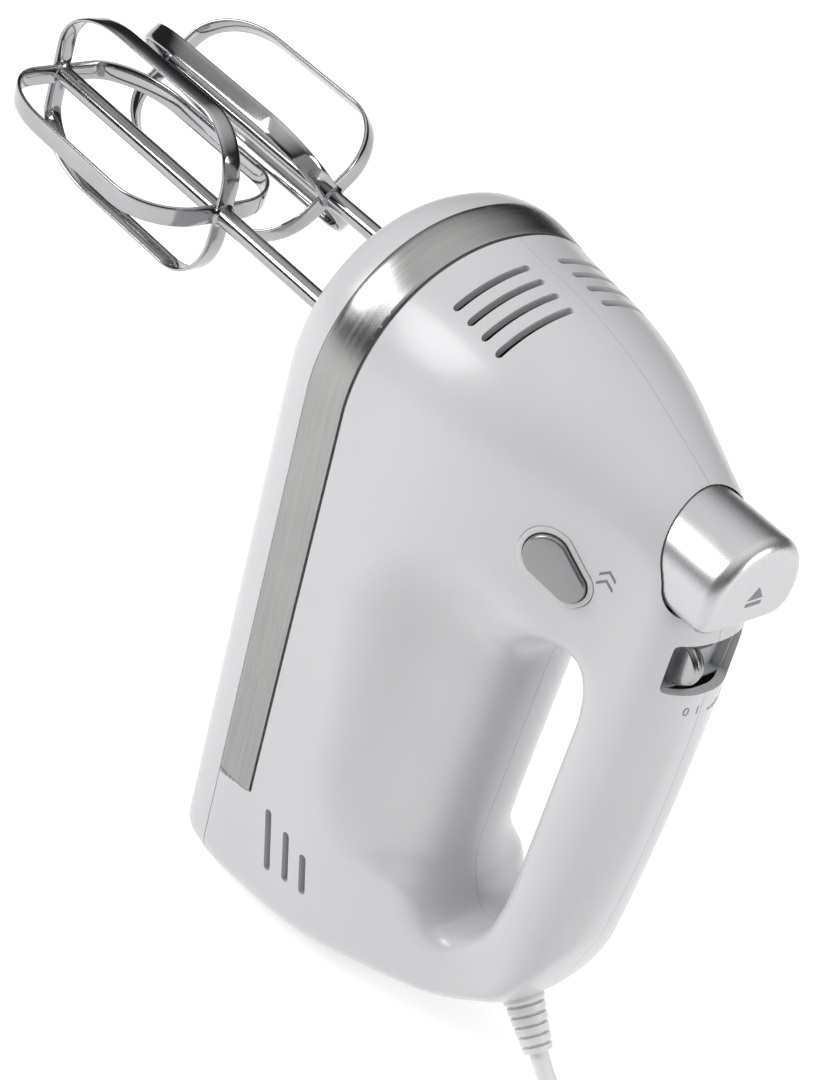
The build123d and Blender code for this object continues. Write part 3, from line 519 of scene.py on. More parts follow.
def surface_net(field, low, step):
    """Quads round the nought level of a sampled field, one point in each cell that the level crosses."""
    cells = tuple(n - 1 for n in field.shape)
    total, count = np.zeros(cells + (3,)), np.zeros(cells)
    for axis in range(3):
        for a in (0, 1):
            for b in (0, 1):
                corner = [0, 0, 0]
                others = [k for k in range(3) if k != axis]
                corner[others[0]], corner[others[1]] = a, b
                start = tuple(slice(c, c + n) for c, n in zip(corner, cells))
                corner[axis] = 1
                end = tuple(slice(c, c + n) for c, n in zip(corner, cells))
                corner[axis] = 0
                f0, f1 = field[start], field[end]
                crossed = (f0 < 0) != (f1 < 0)
                share = np.where(crossed, f0 / np.where(crossed, f0 - f1, 1), 0)
                for k in range(3):
                    total[..., k] += np.where(crossed, share if k == axis else corner[k], 0)
                count += crossed
    live = count > 0
    number = np.full(cells, -1)
    number[live] = np.arange(live.sum())
    points = total[live] / count[live][:, None] + np.argwhere(live)
    quads = []
    for axis in range(3):
        u, v = (axis + 1) % 3, (axis + 2) % 3
        along = [slice(1, n) for n in cells]
        along[axis] = slice(0, cells[axis])
        shifted = list(along)
        shifted[axis] = slice(1, cells[axis] + 1)
        f0, f1 = field[tuple(along)], field[tuple(shifted)]
        for sign, order in ((1, (0, 1, 3, 2)), (-1, (0, 2, 3, 1))):
            spots = np.argwhere(((f0 < 0) & (f1 >= 0)) if sign == 1 else ((f0 >= 0) & (f1 < 0)))
            offset = np.ones(3, int)
            offset[axis] = 0
            spots = spots + offset
            around = []
            for du, dv in ((0, 0), (1, 0), (0, 1), (1, 1)):
                cell = spots.copy()
                cell[:, u] -= 1 - du
                cell[:, v] -= 1 - dv
                around.append(number[cell[:, 0], cell[:, 1], cell[:, 2]])
            quads.append(np.stack([around[k] for k in order], 1))
    return points * step + low, np.concatenate(quads)


def housing_skin(step):
    """Points and quads of the housing's outside, each point drawn exactly onto it, in millimetres."""
    low, high = np.array((-46.0, -97.0, -4.0)), np.array((46.0, 34.0, 213.0))
    x, y, z = [np.arange(a, b, step) for a, b in zip(low, high)]
    grid = housing_distance(x[:, None, None], y[None, :, None], z[None, None, :])
    points, quads = surface_net(grid, low, step)
    small = 0.02
    for _ in range(4):
        value = housing_distance(*points.T)
        slope = np.stack([housing_distance(*(points + small * way).T)
                          - housing_distance(*(points - small * way).T)
                          for way in np.eye(3)], 1) / (2 * small)
        length = np.maximum((slope ** 2).sum(1), 0.05)
        move = -slope * (value / length)[:, None]
        size = np.linalg.norm(move, axis=1, keepdims=True)
        points = points + move * np.minimum(1, 0.5 * step / np.maximum(size, 1e-9))
    return points, quads


def kept_region(name, skin, planes, keep, finish):
    """Part of the skin, split along planes (a point and a way each); keep(x, y, z) picks the faces."""
    piece = mesh_piece(name, *skin, finish)
    work = bmesh.new()
    work.from_mesh(piece.data)
    for point, way in planes:
        bmesh.ops.bisect_plane(work, geom=work.verts[:] + work.edges[:] + work.faces[:], dist=1e-7,
                               plane_co=Vector(point) * MM, plane_no=Vector(way))
    gone = [f for f in work.faces if not keep(*(f.calc_center_median() / MM))]
    bmesh.ops.delete(work, geom=gone, context="FACES")
    bmesh.ops.dissolve_degenerate(work, edges=work.edges[:], dist=2e-5)
    work.to_mesh(piece.data)
    work.free()
    return piece


def thicken(piece, thickness):
    """Gives a skin its wall, inwards."""
    add_modifier(piece, "SOLIDIFY", thickness=thickness * MM, offset=-1.0, use_even_offset=False)
    return settle(piece)


def grip_face(a, b, height):
    """Point at (a, b) on a plane facing the grip side: a across, b upwards, height along Y."""
    return a, height, b


def circle(radius, count):
    """Outline of a circle."""
    turns = np.linspace(0, 2 * math.pi, count, endpoint=False)
    return [(radius * math.cos(t), radius * math.sin(t)) for t in turns]


def box_distance(a, b, half_a, half_b, corner):
    """Signed distance to a rectangle with round corners."""
    past_a, past_b = np.abs(a) - half_a + corner, np.abs(b) - half_b + corner
    outside = np.hypot(np.maximum(past_a, 0), np.maximum(past_b, 0))
    return outside + np.minimum(np.maximum(past_a, past_b), 0) - corner


def prism(name, outline, base, long, finish="carbon"):
    """Closed prism on an outline: base maps (a, b, height) to a point."""
    rings = [[base(a, b, height) for a, b in outline] for height in long]
    return rings_mesh(name, rings, finish)


def stadium(half_long, half_wide, count=8):
    """Slot outline with round ends, its length along a."""
    straight = half_long - half_wide
    turns = [math.pi * k / count - math.pi / 2 for k in range(count + 1)]
    right = [(straight + half_wide * math.cos(t), half_wide * math.sin(t)) for t in turns]
    return right + [(-a, -b) for a, b in right]


def row_tree():
    """Geometry Nodes tree that repeats an object along a straight line."""
    tree = bpy.data.node_groups.new("Row of pieces", "GeometryNodeTree")
    for name, kind in (("Geometry", "Geometry"), ("Piece", "Object"), ("Count", "Int"), ("Step", "Vector"),
                       ("Finish", "Material")):
        tree.interface.new_socket(name, in_out="INPUT", socket_type=f"NodeSocket{kind}")
    tree.interface.new_socket("Geometry", in_out="OUTPUT", socket_type="NodeSocketGeometry")
    source = tree.nodes.new("NodeGroupInput")
    line = tree.nodes.new("GeometryNodeMeshLine")
    shape = tree.nodes.new("GeometryNodeObjectInfo")
    copies = tree.nodes.new("GeometryNodeInstanceOnPoints")
    real = tree.nodes.new("GeometryNodeRealizeInstances")
    paint = tree.nodes.new("GeometryNodeSetMaterial")
    out = tree.nodes.new("NodeGroupOutput")
    link = tree.links.new
    link(source.outputs["Count"], line.inputs["Count"])
    link(source.outputs["Step"], line.inputs["Offset"])
    link(source.outputs["Piece"], shape.inputs["Object"])
    link(line.outputs["Mesh"], copies.inputs["Points"])
    link(shape.outputs["Geometry"], copies.inputs["Instance"])
    link(copies.outputs["Instances"], real.inputs["Geometry"])
    link(real.outputs["Geometry"], paint.inputs["Geometry"])
    link(source.outputs["Finish"], paint.inputs["Material"])
    link(paint.outputs["Geometry"], out.inputs["Geometry"])
    return tree


def row_of(name, piece, count, step):
    """A row of copies of a piece, step apart in millimetres, as one plain mesh; the piece is used up."""
    tree = bpy.data.node_groups.get("Row of pieces") or row_tree()
    holder = placed(name, bpy.data.meshes.new(name))
    made = holder.modifiers.new("Row", "NODES")
    made.node_group = tree
    values = {"Piece": piece, "Count": count, "Step": tuple(v * MM for v in step),
              "Finish": piece.data.materials[0]}
    for item in tree.interface.items_tree:
        if item.in_out == "INPUT" and item.name in values:
            made[item.identifier] = values[item.name]
    bpy.context.view_layer.update()
    settle(holder)
    remove(piece)
    return holder


# ------------------------------------------------------------------ housing pieces
def turbo_place(a, b, height):
    """Point at (a, b) across the turbo button and height outwards, the way the CAD model's plane has it."""
    across = Vector((-TURBO_OUT[1], TURBO_OUT[0], 0))
    up = TURBO_OUT.cross(across)
    return TURBO_POINT + across * a + up * b + TURBO_OUT * height


def housing_cutters():
    """Closed cutters: vents, knob well, slider window, turbo bezel hole and cord hole."""
    cutters = []
    lean = math.radians(13)
    for side in (-1, 1):
        slot = prism("front_slot", stadium(10.5, 1.05),
                     lambda a, b, h, s=side: (s * 15.3 + a, -4.4 + b, h), (185, 215))
        cutters.append(row_of("front_slots", slot, 4, (0, -5.4, 0)))
        for y, z, half in ((-3.7, 31.2, 9.6), (-10.7, 31.0, 7.8), (-17.3, 30.2, 6.2)):
            cutters.append(prism("rear_slot", stadium(half, 1.15), lambda a, b, h, s=side, y=y, z=z: (
                s * h, y + a * math.sin(lean) + b * math.cos(lean),
                z + a * math.cos(lean) - b * math.sin(lean)), (14, 40)))
    well = polar_outline(grown(knob_distance, 0.45), (0, KNOB_MIDDLE), 96)
    cutters.append(prism("knob_well", well, grip_face, (-110, -62)))

    def window(a, b):
        """Signed distance to the slider's window."""
        return box_distance(a - WINDOW_X, b - WINDOW_Z, 11.25, 6.7, 1.4)
    cutters.append(prism("window", polar_outline(window, (WINDOW_X, WINDOW_Z), 96), grip_face, (-110, -78)))
    egg = polar_outline(grown(egg_distance, 1.75), (0, 0), 72)
    cutters.append(prism("bezel_hole", egg, turbo_place, (-9, 12)))
    cutters.append(prism("cord_hole", circle(5.6, 32), lambda a, b, h: exit_place(h, a, b), (-9, 12)))
    return cutters


def build_housing(settings):
    """Left and right shells, base cover, trim band and the ledge behind it."""
    skin = housing_skin(settings.skin_step / MM)
    seam, wall = 0.05, settings.wall / MM
    low, high = BAND_LOW - 0.12, BAND_HIGH - 0.5
    in_shell = lambda y, z: y < high or (y < low and z < BAND_END_Z - 0.3)
    cuts = [((0, high, 0), (0, 1, 0)), ((0, low, 0), (0, 1, 0)), ((0, 0, BAND_END_Z - 0.3), (0, 0, 1))]
    cutters = housing_cutters()
    for name, side in (("left_shell", -1), ("right_shell", 1)):
        shell = kept_region(f"{name}_skin", skin, cuts + [((side * seam, 0, 0), (1, 0, 0))],
                            lambda x, y, z: side * x > seam and in_shell(y, z), "white_plastic")
        crease(cut(thicken(shell, wall), cutters), 35)
        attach(shell, HOUSING)
        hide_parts(name)
    base = kept_region("base_cover_skin", skin, [((0, BAND_LOW + 0.12, 0), (0, 1, 0))],
                       lambda x, y, z: y > BAND_LOW + 0.12, "base_plastic")
    thicken(base, wall)
    sockets = [prism("socket", circle(8.55, 48), lambda a, b, h, s=s: (s * BEATER_X + a, h, BEATER_Z + b),
                     (15, 40)) for s in (-1, 1)]
    sockets += [prism("screw_seat", circle(3.4, 32), lambda a, b, h, x=x, z=z: (x + a, h, z + b), (20, 40))
                for x, z in ((33, 118), (-33, 118), (27.5, 55), (-27.5, 55))]
    crease(cut(base, sockets), 35)
    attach(base, HOUSING)
    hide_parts("base_cover")
    for cutter in cutters + sockets:
        remove(cutter)

    band = kept_region("trim_band_skin", skin, [
        ((0, BAND_HIGH + 0.35, 0), (0, 1, 0)), ((0, BAND_LOW - 0.05, 0), (0, 1, 0)),
        ((0, 0, BAND_END_Z), (0, 0.12, 1))],
        lambda x, y, z: BAND_HIGH + 0.35 < y < BAND_LOW - 0.05 and z + 0.12 * y > BAND_END_Z, "band_steel")
    crease(bevel(thicken(band, 1.1), 0.22, 2, 50), 40)
    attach(band, HOUSING)
    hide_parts("trim_band")

    ledge = kept_region("band_ledge_skin", skin, [((0, 1.5, 0), (0, 1, 0)), ((0, 19.5, 0), (0, 1, 0))],
                        lambda x, y, z: 1.5 < y < 19.5 and z > 22, "white_plastic")
    add_modifier(ledge, "DISPLACE", strength=-(wall - 0.9) * MM, mid_level=0.0)
    settle(ledge)
    crease(thicken(ledge, 0.8), 40)
    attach(ledge, HOUSING)


# ------------------------------------------------------------------ beaters
def loop_outline(tip, hub, wide, count=18):
    """Middle line of a beater loop as (along Y, across) points, going round once."""
    tip_long, tip_wide, hub_long, hub_wide = 23.0, 14.0, 15.4, 16.6
    corners = (
        (tip - tip_long, wide - tip_wide, tip_long, tip_wide, 0),
        (hub + hub_long, wide - hub_wide, hub_long, hub_wide, 90),
        (hub + hub_long, hub_wide - wide, hub_long, hub_wide, 180),
        (tip - tip_long, tip_wide - wide, tip_long, tip_wide, 270),
    )
    line = []
    for along, across, long, broad, start in corners:
        for k in range(count + 1):
            angle = math.radians(start + 90 * k / count)
            line.append((along + long * math.cos(angle), across + broad * math.sin(angle)))
        if start in (90, 270):
            continue
        far = hub + hub_long if start == 0 else tip - tip_long
        side = wide if start == 0 else -wide
        line += [(line[-1][0] + (far - line[-1][0]) * s, side) for s in (0.25, 0.5, 0.75)]
    return line


def strip_loop(name, x, turn, tip, hub):
    """One bent steel strip with rounded edges and slightly domed faces, closed on itself."""
    line = loop_outline(tip, hub, CAGE_R - STRIP_THICK / 2)
    out = Vector((math.sin(turn), 0, -math.cos(turn)))
    flat = Vector((math.cos(turn), 0, math.sin(turn)))
    half, thin = STRIP_WIDE / 2, STRIP_THICK / 2
    section = [(-half + 0.35, thin - 0.06), (-half * 0.5, thin), (0, thin + 0.03), (half * 0.5, thin),
               (half - 0.35, thin - 0.06), (half - 0.08, thin * 0.55), (half, 0), (half - 0.08, -thin * 0.55),
               (half - 0.35, -thin), (0, -thin), (-half + 0.35, -thin), (-half + 0.08, -thin * 0.55),
               (-half, 0), (-half + 0.08, thin * 0.55)]
    rings = []
    for k, (along, across) in enumerate(line):
        before, after = line[k - 1], line[(k + 1) % len(line)]
        way = Vector((after[0] - before[0], after[1] - before[1])).normalized()
        side = (way[1], -way[0])
        rings.append([Vector((x, 0, BEATER_Z)) + Vector((0, 1, 0)) * (along + side[0] * h)
                      + out * (across + side[1] * h) + flat * w for w, h in section])
    return rings_mesh(name, rings, "beater_steel", closed=True)


def lathe(name, profile, place, finish, count=40):
    """Turned piece: profile is (along, radius) and place maps (along, a, b) to a point."""
    rings = [[place(along, a, b) for a, b in circle(radius, count)] for along, radius in profile]
    return rings_mesh(name, rings, finish)


def build_beaters(settings):
    """Both beaters: two crossing strips each, the shaft with its ears and the riveted tip."""
    for name, x, turn in (("left", -BEATER_X, 0.0), ("right", BEATER_X, math.radians(45))):
        place = lambda along, a, b, x=x: (x + a, along, BEATER_Z + b)
        loops = [strip_loop(f"{name}_outer_loop", x, turn, TIP_Y, HUB_Y),
                 strip_loop(f"{name}_inner_loop", x, turn + math.pi / 2, TIP_Y - 1.02, HUB_Y + 1.02)]
        cage = crease(join(f"{name}_beater_cage", loops), 50)
        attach(cage, f"{name}_beater")
        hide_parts(f"{name}_beater_loops")
        r = SHAFT_R
        profile = [(-20.0, 0.01), (-20.0, r - 0.8), (-19.2, r), (-12, r), (-12.0, r - 0.35),
                   (-10.6, r - 0.35), (-10.6, r), (84.0, r), (84.4, 3.1), (84.7, 3.4), (87.0, 3.4),
                   (87.3, 3.1), (87.5, r),
                   (158.0, r), (158.2, 3.0), (158.6, 3.2), (160.4, 3.2), (160.6, 2.4), (161.2, 1.9),
                   (161.55, 1.0), (161.6, 0.01)]
        shaft = lathe(f"{name}_shaft_rod", profile, place, "beater_steel")
        ear_outline = [(-4.2, 16.4), (-3.8, 16), (3.8, 16), (4.2, 16.4), (4.2, 21.6), (3.8, 22), (-3.8, 22),
                       (-4.2, 21.6)]
        ears = prism(f"{name}_shaft_ears", ear_outline, lambda a, b, h, x=x: (x + a, b, BEATER_Z + h),
                     (-0.8, 0.8), "beater_steel")
        rod = join(f"{name}_beater_rod", [shaft, ears])
        crease(rod, 35)
        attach(rod, f"{name}_beater")
        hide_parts(f"{name}_beater_shaft")


# ------------------------------------------------------------------ controls
def capped(name, distance, centre, levels, place, finish, count=96):
    """Closed form on an outline that shrinks by an amount at each level: levels are (height, shrink)."""
    rings = [[place(a, b, height) for a, b in polar_outline(grown(distance, -shrink), centre, count)]
             for height, shrink in levels]
    return rings_mesh(name, rings, finish)


def rounded_rim(top, radius, steps=7, toward=1.0):
    """Levels of a rounded rim whose flat ends at top; toward is the way the top faces."""
    return [(top - toward * radius * (1 - math.sin(t)), radius * (1 - math.cos(t)))
            for t in np.linspace(0, math.pi / 2, steps)]


def flat_mark(name, shapes, place, finish="mark_ink", thick=0.05):
    """Thin printed shapes, each a closed outline, laid on a surface."""
    made = [prism(f"{name}_{k}", shape, place, (-0.02, thick), finish) for k, shape in enumerate(shapes)]
    piece = join(name, made)
    for polygon in piece.data.polygons:
        polygon.use_smooth = False
    return piece


def text_outlines(words, size):
    """A number's outline as a mesh lying flat, centred, in millimetres."""
    curve = bpy.data.curves.new("number", "FONT")
    curve.body = words
    curve.size = size
    curve.align_x = "CENTER"
    curve.align_y = "CENTER"
    curve.extrude = 0.03
    holder = placed("number", curve)
    bpy.context.view_layer.update()
    mesh = bpy.data.meshes.new_from_object(holder)
    remove(holder)
    return mesh


def laid(name, mesh, place):
    """A flat mesh in millimetres placed on a surface by place(a, b, height)."""
    for vertex in mesh.vertices:
        vertex.co = Vector(place(vertex.co.x, vertex.co.y, vertex.co.z + 0.02)) * MM
    piece = placed(name, mesh)
    mesh.materials.clear()
    mesh.materials.append(FINISHES["mark_ink"])
    return outward(piece)


def build_knob(settings):
    """Eject knob with its end face inside a fine bevel, and an eject sign on it."""
    levels = [(KNOB_FOOT, 2.0), (KNOB_FOOT, 0.3), (KNOB_FOOT - 0.3, 0.0), (-75, 0.0), (-80, 0.0), (-85, 0.0)]
    levels += rounded_rim(KNOB_END, 3.2, 11, -1.0)
    levels += [(KNOB_END, 5.0), (KNOB_END, 8.0)]
    knob = capped("eject_knob_cap", knob_distance, (0, KNOB_MIDDLE), levels, grip_face, "knob_silver")
    crease(knob, 40)
    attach(knob, "ejector")
    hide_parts("eject_knob")
    triangle = [(-2.6, 0.0), (2.6, 0.0), (0, 3.4)]
    bar = [(-2.6, -1.9), (2.6, -1.9), (2.6, -0.8), (-2.6, -0.8)]
    sign = flat_mark("eject_sign", [triangle, bar], lambda a, b, h: (a, KNOB_END - h, 172.6 + b))
    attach(sign, "ejector")


def build_turbo(settings):
    """Turbo button with its white ring, and a double chevron printed beside it."""
    levels = [(-4.4, 0.0), (-0.1, 0.0), (0.15, 0.12), (0.25, 0.4), (0.25, 1.0)]
    bezel = capped("turbo_ring", grown(egg_distance, 1.6), (0, 0), levels, turbo_place, "white_plastic")
    hole = prism("ring_hole", polar_outline(grown(egg_distance, 0.3), (0, 0), 96), turbo_place, (-8, 4))
    crease(cut(bezel, [hole]), 35)
    remove(hole)
    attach(bezel, HOUSING)
    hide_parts("turbo_bezel")
    levels = [(-4.0, 0.4), (-4.0, 0.0), (0.6, 0.0)] + rounded_rim(1.5, 0.9, 7) + [(1.72, 2.2), (1.8, 3.6)]
    button = capped("turbo_cap", egg_distance, (0, 0), levels, turbo_place, "button_silver")
    crease(button, 40)
    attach(button, "turbo")
    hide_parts("turbo_button")
    chevrons = [[(x, -1.9), (x + 0.7, -1.9), (x + 2.2, 0), (x + 0.7, 1.9), (x, 1.9), (x + 1.5, 0)]
                for x in (0.0, 2.2)]

    def on_shell(a, b, h):
        """Point on the left shell beside the button, pushed onto the housing's surface."""
        spot, small = np.array(turbo_place(11.6 + b * 1.15, 1.4 + a * 1.15, 0.0), float), 0.02
        for _ in range(6):
            value = float(housing_distance(*spot))
            slope = np.array([float(housing_distance(*(spot + small * way))
                                    - housing_distance(*(spot - small * way)))
                              for way in np.eye(3)]) / (2 * small)
            spot = spot - slope * value / max((slope ** 2).sum(), 0.05)
        slope = slope / np.linalg.norm(slope)
        return tuple(spot + slope * (h + 0.01))
    sign = flat_mark("turbo_sign", chevrons, on_shell)
    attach(sign, HOUSING)


def build_slider(settings):
    """Speed slider with its finger ribs, the recess it runs in, and the scale beside it."""
    def edge(half_x, half_z):
        """Rectangle round the slider's window, half_x by half_z."""
        corners = ((1, 1), (-1, 1), (-1, -1), (1, -1))
        return [(a * half_x + WINDOW_X, b * half_z + WINDOW_Z) for a, b in corners]
    tray = prism("slider_recess", edge(11.1, 7.5), grip_face, (WINDOW_Y - 2.6, WINDOW_Y + 2), "grey_plastic")
    pocket = prism("recess_pocket", edge(10.4, 6.8), grip_face, (WINDOW_Y - 5, WINDOW_Y))
    slot = prism("slide_slot", [(a, b + SLIDER_Z) for a, b in stadium(7.8, 0.9)], grip_face,
                 (WINDOW_Y - 4, WINDOW_Y + 6))
    cut(tray, [slot, pocket])
    remove(slot)
    remove(pocket)
    crease(tray, 40)
    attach(tray, HOUSING)
    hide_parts("speed_bezel")

    rings = []
    foot = WINDOW_Y - 0.3
    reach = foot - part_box("speed_slider")[0][1] / MM
    half_ribs = [(0.3, 0.5), (0.55, 0.12), (0.9, 0.2), (1.2, 0.75), (1.5, 0.45), (1.85, 0.75), (1.95, 1.1)]
    ribs = [(-x, shrink) for x, shrink in half_ribs[::-1]] + [(0.0, 0.0)] + half_ribs
    for x, shrink in ribs:
        rings.append([(SLIDER_X + x, foot - (reach - shrink) * math.sin(angle),
                       WINDOW_Z + (6.4 - shrink) * math.cos(angle)) for angle in np.linspace(0, math.pi, 41)])
    fin = rings_mesh("slider_fin", rings, "slider_chrome")
    crease(fin, 60)
    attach(fin, "slider")
    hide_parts("speed_slider")

    def on_grip(a, b, h):
        """Point on the grip's top, facing -Y, pushed onto the housing's surface."""
        spot, small = np.array((a, -88.0, b), float), np.array((0, 0.02, 0))
        for _ in range(20):
            value = float(housing_distance(*spot))
            slope = float(housing_distance(*(spot + small)) - housing_distance(*(spot - small))) / 0.04
            spot = spot - np.array((0, value / (slope if abs(slope) > 0.1 else -1.0), 0))
        return (spot[0], spot[1] - 0.01 - h, spot[2])
    bars, low, wide = [], 137.6, 1.15
    for k in range(5):
        left, high = 2.6 + 1.75 * k, low + 0.55 + 0.4 * k
        bars.append([(left, low), (left + wide, low), (left + wide, high), (left, high)])
    scale = [flat_mark("scale_bars", bars, on_grip)]
    for words, x in (("0", -4.6), ("1", -1.2)):
        scale.append(laid("scale_number", text_outlines(words, 3.4),
                          lambda a, b, h, x=x: on_grip(x + a, 138.7 + b, h)))
    marks = join("speed_scale", scale)
    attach(marks, HOUSING)


def build_collars(settings):
    """Grey rings round the beater sockets."""
    made = []
    for x in (-BEATER_X, BEATER_X):
        profile = [(24.0, 6.1), (24.0, 8.4), (29.9, 8.4), (29.9, 9.2), (30.2, 9.5), (30.6, 9.5), (30.8, 9.2),
                   (30.8, 7.3), (30.5, 6.9), (29.9, 6.6)]
        rings = [[(x + a, y, BEATER_Z + b) for a, b in circle(r, 48)] for y, r in profile]
        made.append(rings_mesh("socket_ring", rings, "grey_plastic", closed=True))
    collars = join("beater_sockets", made)
    crease(collars, 40)
    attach(collars, HOUSING)
    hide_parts("socket_collars")


# ------------------------------------------------------------------ cord
def exit_place(along, a, b):
    """Point beside the cord's own way out: along it, and a and b across."""
    side = Vector((1, 0, 0))
    return CORD_EXIT + CORD_WAY * along + side * a + CORD_WAY.cross(side) * b


def cord_points():
    """Route of the cord: out of the strain relief, down to the surface, round the coil and on to the plug."""
    points = [exit_place(RELIEF_OUT, 0, 0), exit_place(RELIEF_OUT + 11, 0, 0), Vector((1, -108, 5.4)),
              Vector((5, -122, FLOOR_LIFT)), Vector((10, -137, FLOOR_LIFT))]
    per_turn, low, high = 16, FLOOR_LIFT, FLOOR_LIFT + CORD_D
    spread = 1 / math.cos(math.pi / per_turn)      # a control point stands this much outside its turn
    turns = ((33.0, low), (28.0, low), (23.0, low), (23.0, high), (28.0, high), (33.0, high))
    for step in range(per_turn * len(turns) + 3):
        turn, share = min(step // per_turn, len(turns) - 1), (step % per_turn) / per_turn
        if step >= per_turn * len(turns):
            share = 0
        before = turns[turn]
        after = turns[min(turn + 1, len(turns) - 1)]
        ease = max(0, share - 0.75) * 4 if turn < len(turns) - 1 else 0
        radius = (before[0] + (after[0] - before[0]) * ease) * spread
        height = before[1] + (after[1] - before[1]) * ease
        angle = -2 * math.pi * step / per_turn
        points.append(Vector((COIL_X + radius * math.cos(angle), COIL_Y + radius * math.sin(angle), height)))
    points += [Vector((-28, -186.5, 6.2)), Vector((-41.1, -185.3, 4.2)), Vector((-54.2, -197.9, FLOOR_LIFT)),
               Vector((-54.2, -216.3, 3.8)), Vector((-41.1, -229, 6.6)), Vector((PLUG_X, PLUG_Y, PLUG_Z))]
    return points


def build_cord(settings):
    """Mains cord, its strain relief and its plug."""
    points = cord_points()
    curve = bpy.data.curves.new("mains_cord", "CURVE")
    curve.dimensions = "3D"
    curve.resolution_u = 8
    curve.bevel_depth = CORD_D / 2 * MM
    curve.bevel_resolution = 5
    curve.use_fill_caps = True
    line = curve.splines.new("NURBS")
    line.points.add(len(points) - 1)
    for spot, point in zip(line.points, points):
        spot.co = (*(point * MM), 1)
    line.order_u = 3
    line.use_endpoint_u = True
    cord = placed("mains_cord", curve)
    curve.materials.append(FINISHES["cord_white"])
    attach(cord, HOUSING)
    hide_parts("cord_lead", "cord_coil", "cord_tail")

    levels = [(0.0, 9, 8, 3), (4.0, 14, 10, 4), (9.0, 22, 12.6, 5), (13.0, 26, 13.8, 5), (30.0, 26, 13.8, 5),
              (33.8, 25.6, 13.4, 5), (34.7, 24.6, 12.4, 4.6), (35.0, 23.4, 11.2, 4)]
    rings = []
    for reach, wide, high, corner in levels:
        outline = polar_outline(lambda a, b: box_distance(a, b, wide / 2, high / 2, corner), (0, 0), 64)
        rings.append([(PLUG_X + reach, PLUG_Y + a, PLUG_Z + b) for a, b in outline])
    plug = crease(rings_mesh("mains_plug", rings, "cord_white"), 40)
    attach(plug, HOUSING)
    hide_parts("plug_body")

    profile = [(-5.8, 0.01), (-5.8, 6.9), (-3.6, 6.9), (-3.5, 5.4), (0.8, 5.4), (1.0, 5.5)]
    for rib in range(5):
        start = 1.6 + 2.7 * rib
        outer = 5.45 - (start / RELIEF_OUT) * 1.5
        profile += [(start, outer), (start + 0.25, outer - 0.1), (start + 0.3, outer - 1.25),
                    (start + 1.05, outer - 1.3), (start + 1.1, outer - 0.25)]
    profile += [(RELIEF_OUT - 0.25, 3.9), (RELIEF_OUT, 3.6), (RELIEF_OUT, 0.01)]
    relief = crease(lathe("cord_relief", profile, exit_place, "cord_white", 48), 32)
    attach(relief, HOUSING)
    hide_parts("strain_relief")
    start = exit_place(RELIEF_OUT, 0, 0) * MM


def finish_inside(settings):
    """Gives every CAD node that still shows its own material."""
    slots = {part["node"]: part["material_slot"] for part in frame["record"]["subparts"]}
    for name, node in frame["nodes"].items():
        node.data.materials.clear()
        node.data.materials.append(FINISHES[slots[name]])
        for polygon in node.data.polygons:
            polygon.material_index = 0


# ------------------------------------------------------------------ studio
def backdrop_material():
    """Plain, very pale paper with the faintest unevenness."""
    f = Finish("studio_paper")
    f.surface(Base_Color=f.tint(f.noise(3.0, 2.0), (0.80, 0.80, 0.80), (0.84, 0.84, 0.84)), Roughness=0.9,
              Emission_Color=(1, 1, 1, 1), Emission_Strength=0.42)
    return f.material


def area_light(name, spot, target, size, power, tall=None):
    """Soft rectangular light aimed at a point; places in millimetres."""
    data = bpy.data.lights.new(name, "AREA")
    data.shape = "RECTANGLE"
    data.size = size
    data.size_y = tall or size
    data.energy = power
    lamp = placed(name, data)
    lamp.location = Vector(spot) * MM
    lamp.rotation_euler = (Vector(target) - Vector(spot)).to_track_quat("-Z", "Y").to_euler()
    return lamp


def build_camera():
    """Camera at the viewing angle."""
    data = bpy.data.cameras.new("camera")
    data.lens = 92.0
    data.sensor_width = 36.0
    data.sensor_fit = "AUTO"
    data.clip_start = 0.01
    data.clip_end = 50.0
    camera = placed("camera", data)
    right, up = Vector((0.739, -0.618, 0.267)).normalized(), Vector((0.200, 0.581, 0.789))
    back = right.cross(up).normalized()
    up = back.cross(right)
    turned = Matrix((right, up, back)).transposed().to_4x4()
    camera.matrix_world = Matrix.Translation(Vector((-452.8, -364.8, 504.4)) * MM) @ turned
    bpy.context.scene.camera = camera


def build_studio(settings):
    """Plain pale floor, soft lights and the light from overhead."""
    mesh = bpy.data.meshes.new("studio_floor")
    half, sunk = 6, -0.0002
    corners = [(-half, -half, sunk), (half, -half, sunk), (half, half, sunk), (-half, half, sunk)]
    mesh.from_pydata(corners, [], [(0, 1, 2, 3)])
    floor = placed("studio_floor", mesh)
    mesh.materials.append(backdrop_material())
    world = bpy.data.worlds.new("studio")
    bpy.context.scene.world = world
    world.use_nodes = True
    nodes, links = world.node_tree.nodes, world.node_tree.links
    where = nodes.new("ShaderNodeTexCoord")
    split = nodes.new("ShaderNodeSeparateXYZ")
    ramp = nodes.new("ShaderNodeValToRGB")
    ramp.color_ramp.elements[0].position = 0.42
    ramp.color_ramp.elements[0].color = (0.03, 0.03, 0.032, 1)
    ramp.color_ramp.elements[1].position = 0.95
    ramp.color_ramp.elements[1].color = (1, 1, 1, 1)
    links.new(where.outputs["Generated"], split.inputs[0])
    links.new(split.outputs["Z"], ramp.inputs["Fac"])
    links.new(ramp.outputs["Color"], nodes["Background"].inputs["Color"])
    nodes["Background"].inputs["Strength"].default_value = settings.ambient
    middle = (0, 0, 110)
    area_light("key", (-850, 620, 800), middle, 0.6, settings.key_power)
    area_light("grip_side", (450, -1000, 450), middle, 0.5, settings.key_power * 0.55)
    bpy.context.scene.view_settings.view_transform = "Standard"
    bpy.context.scene.view_settings.exposure = 0.0


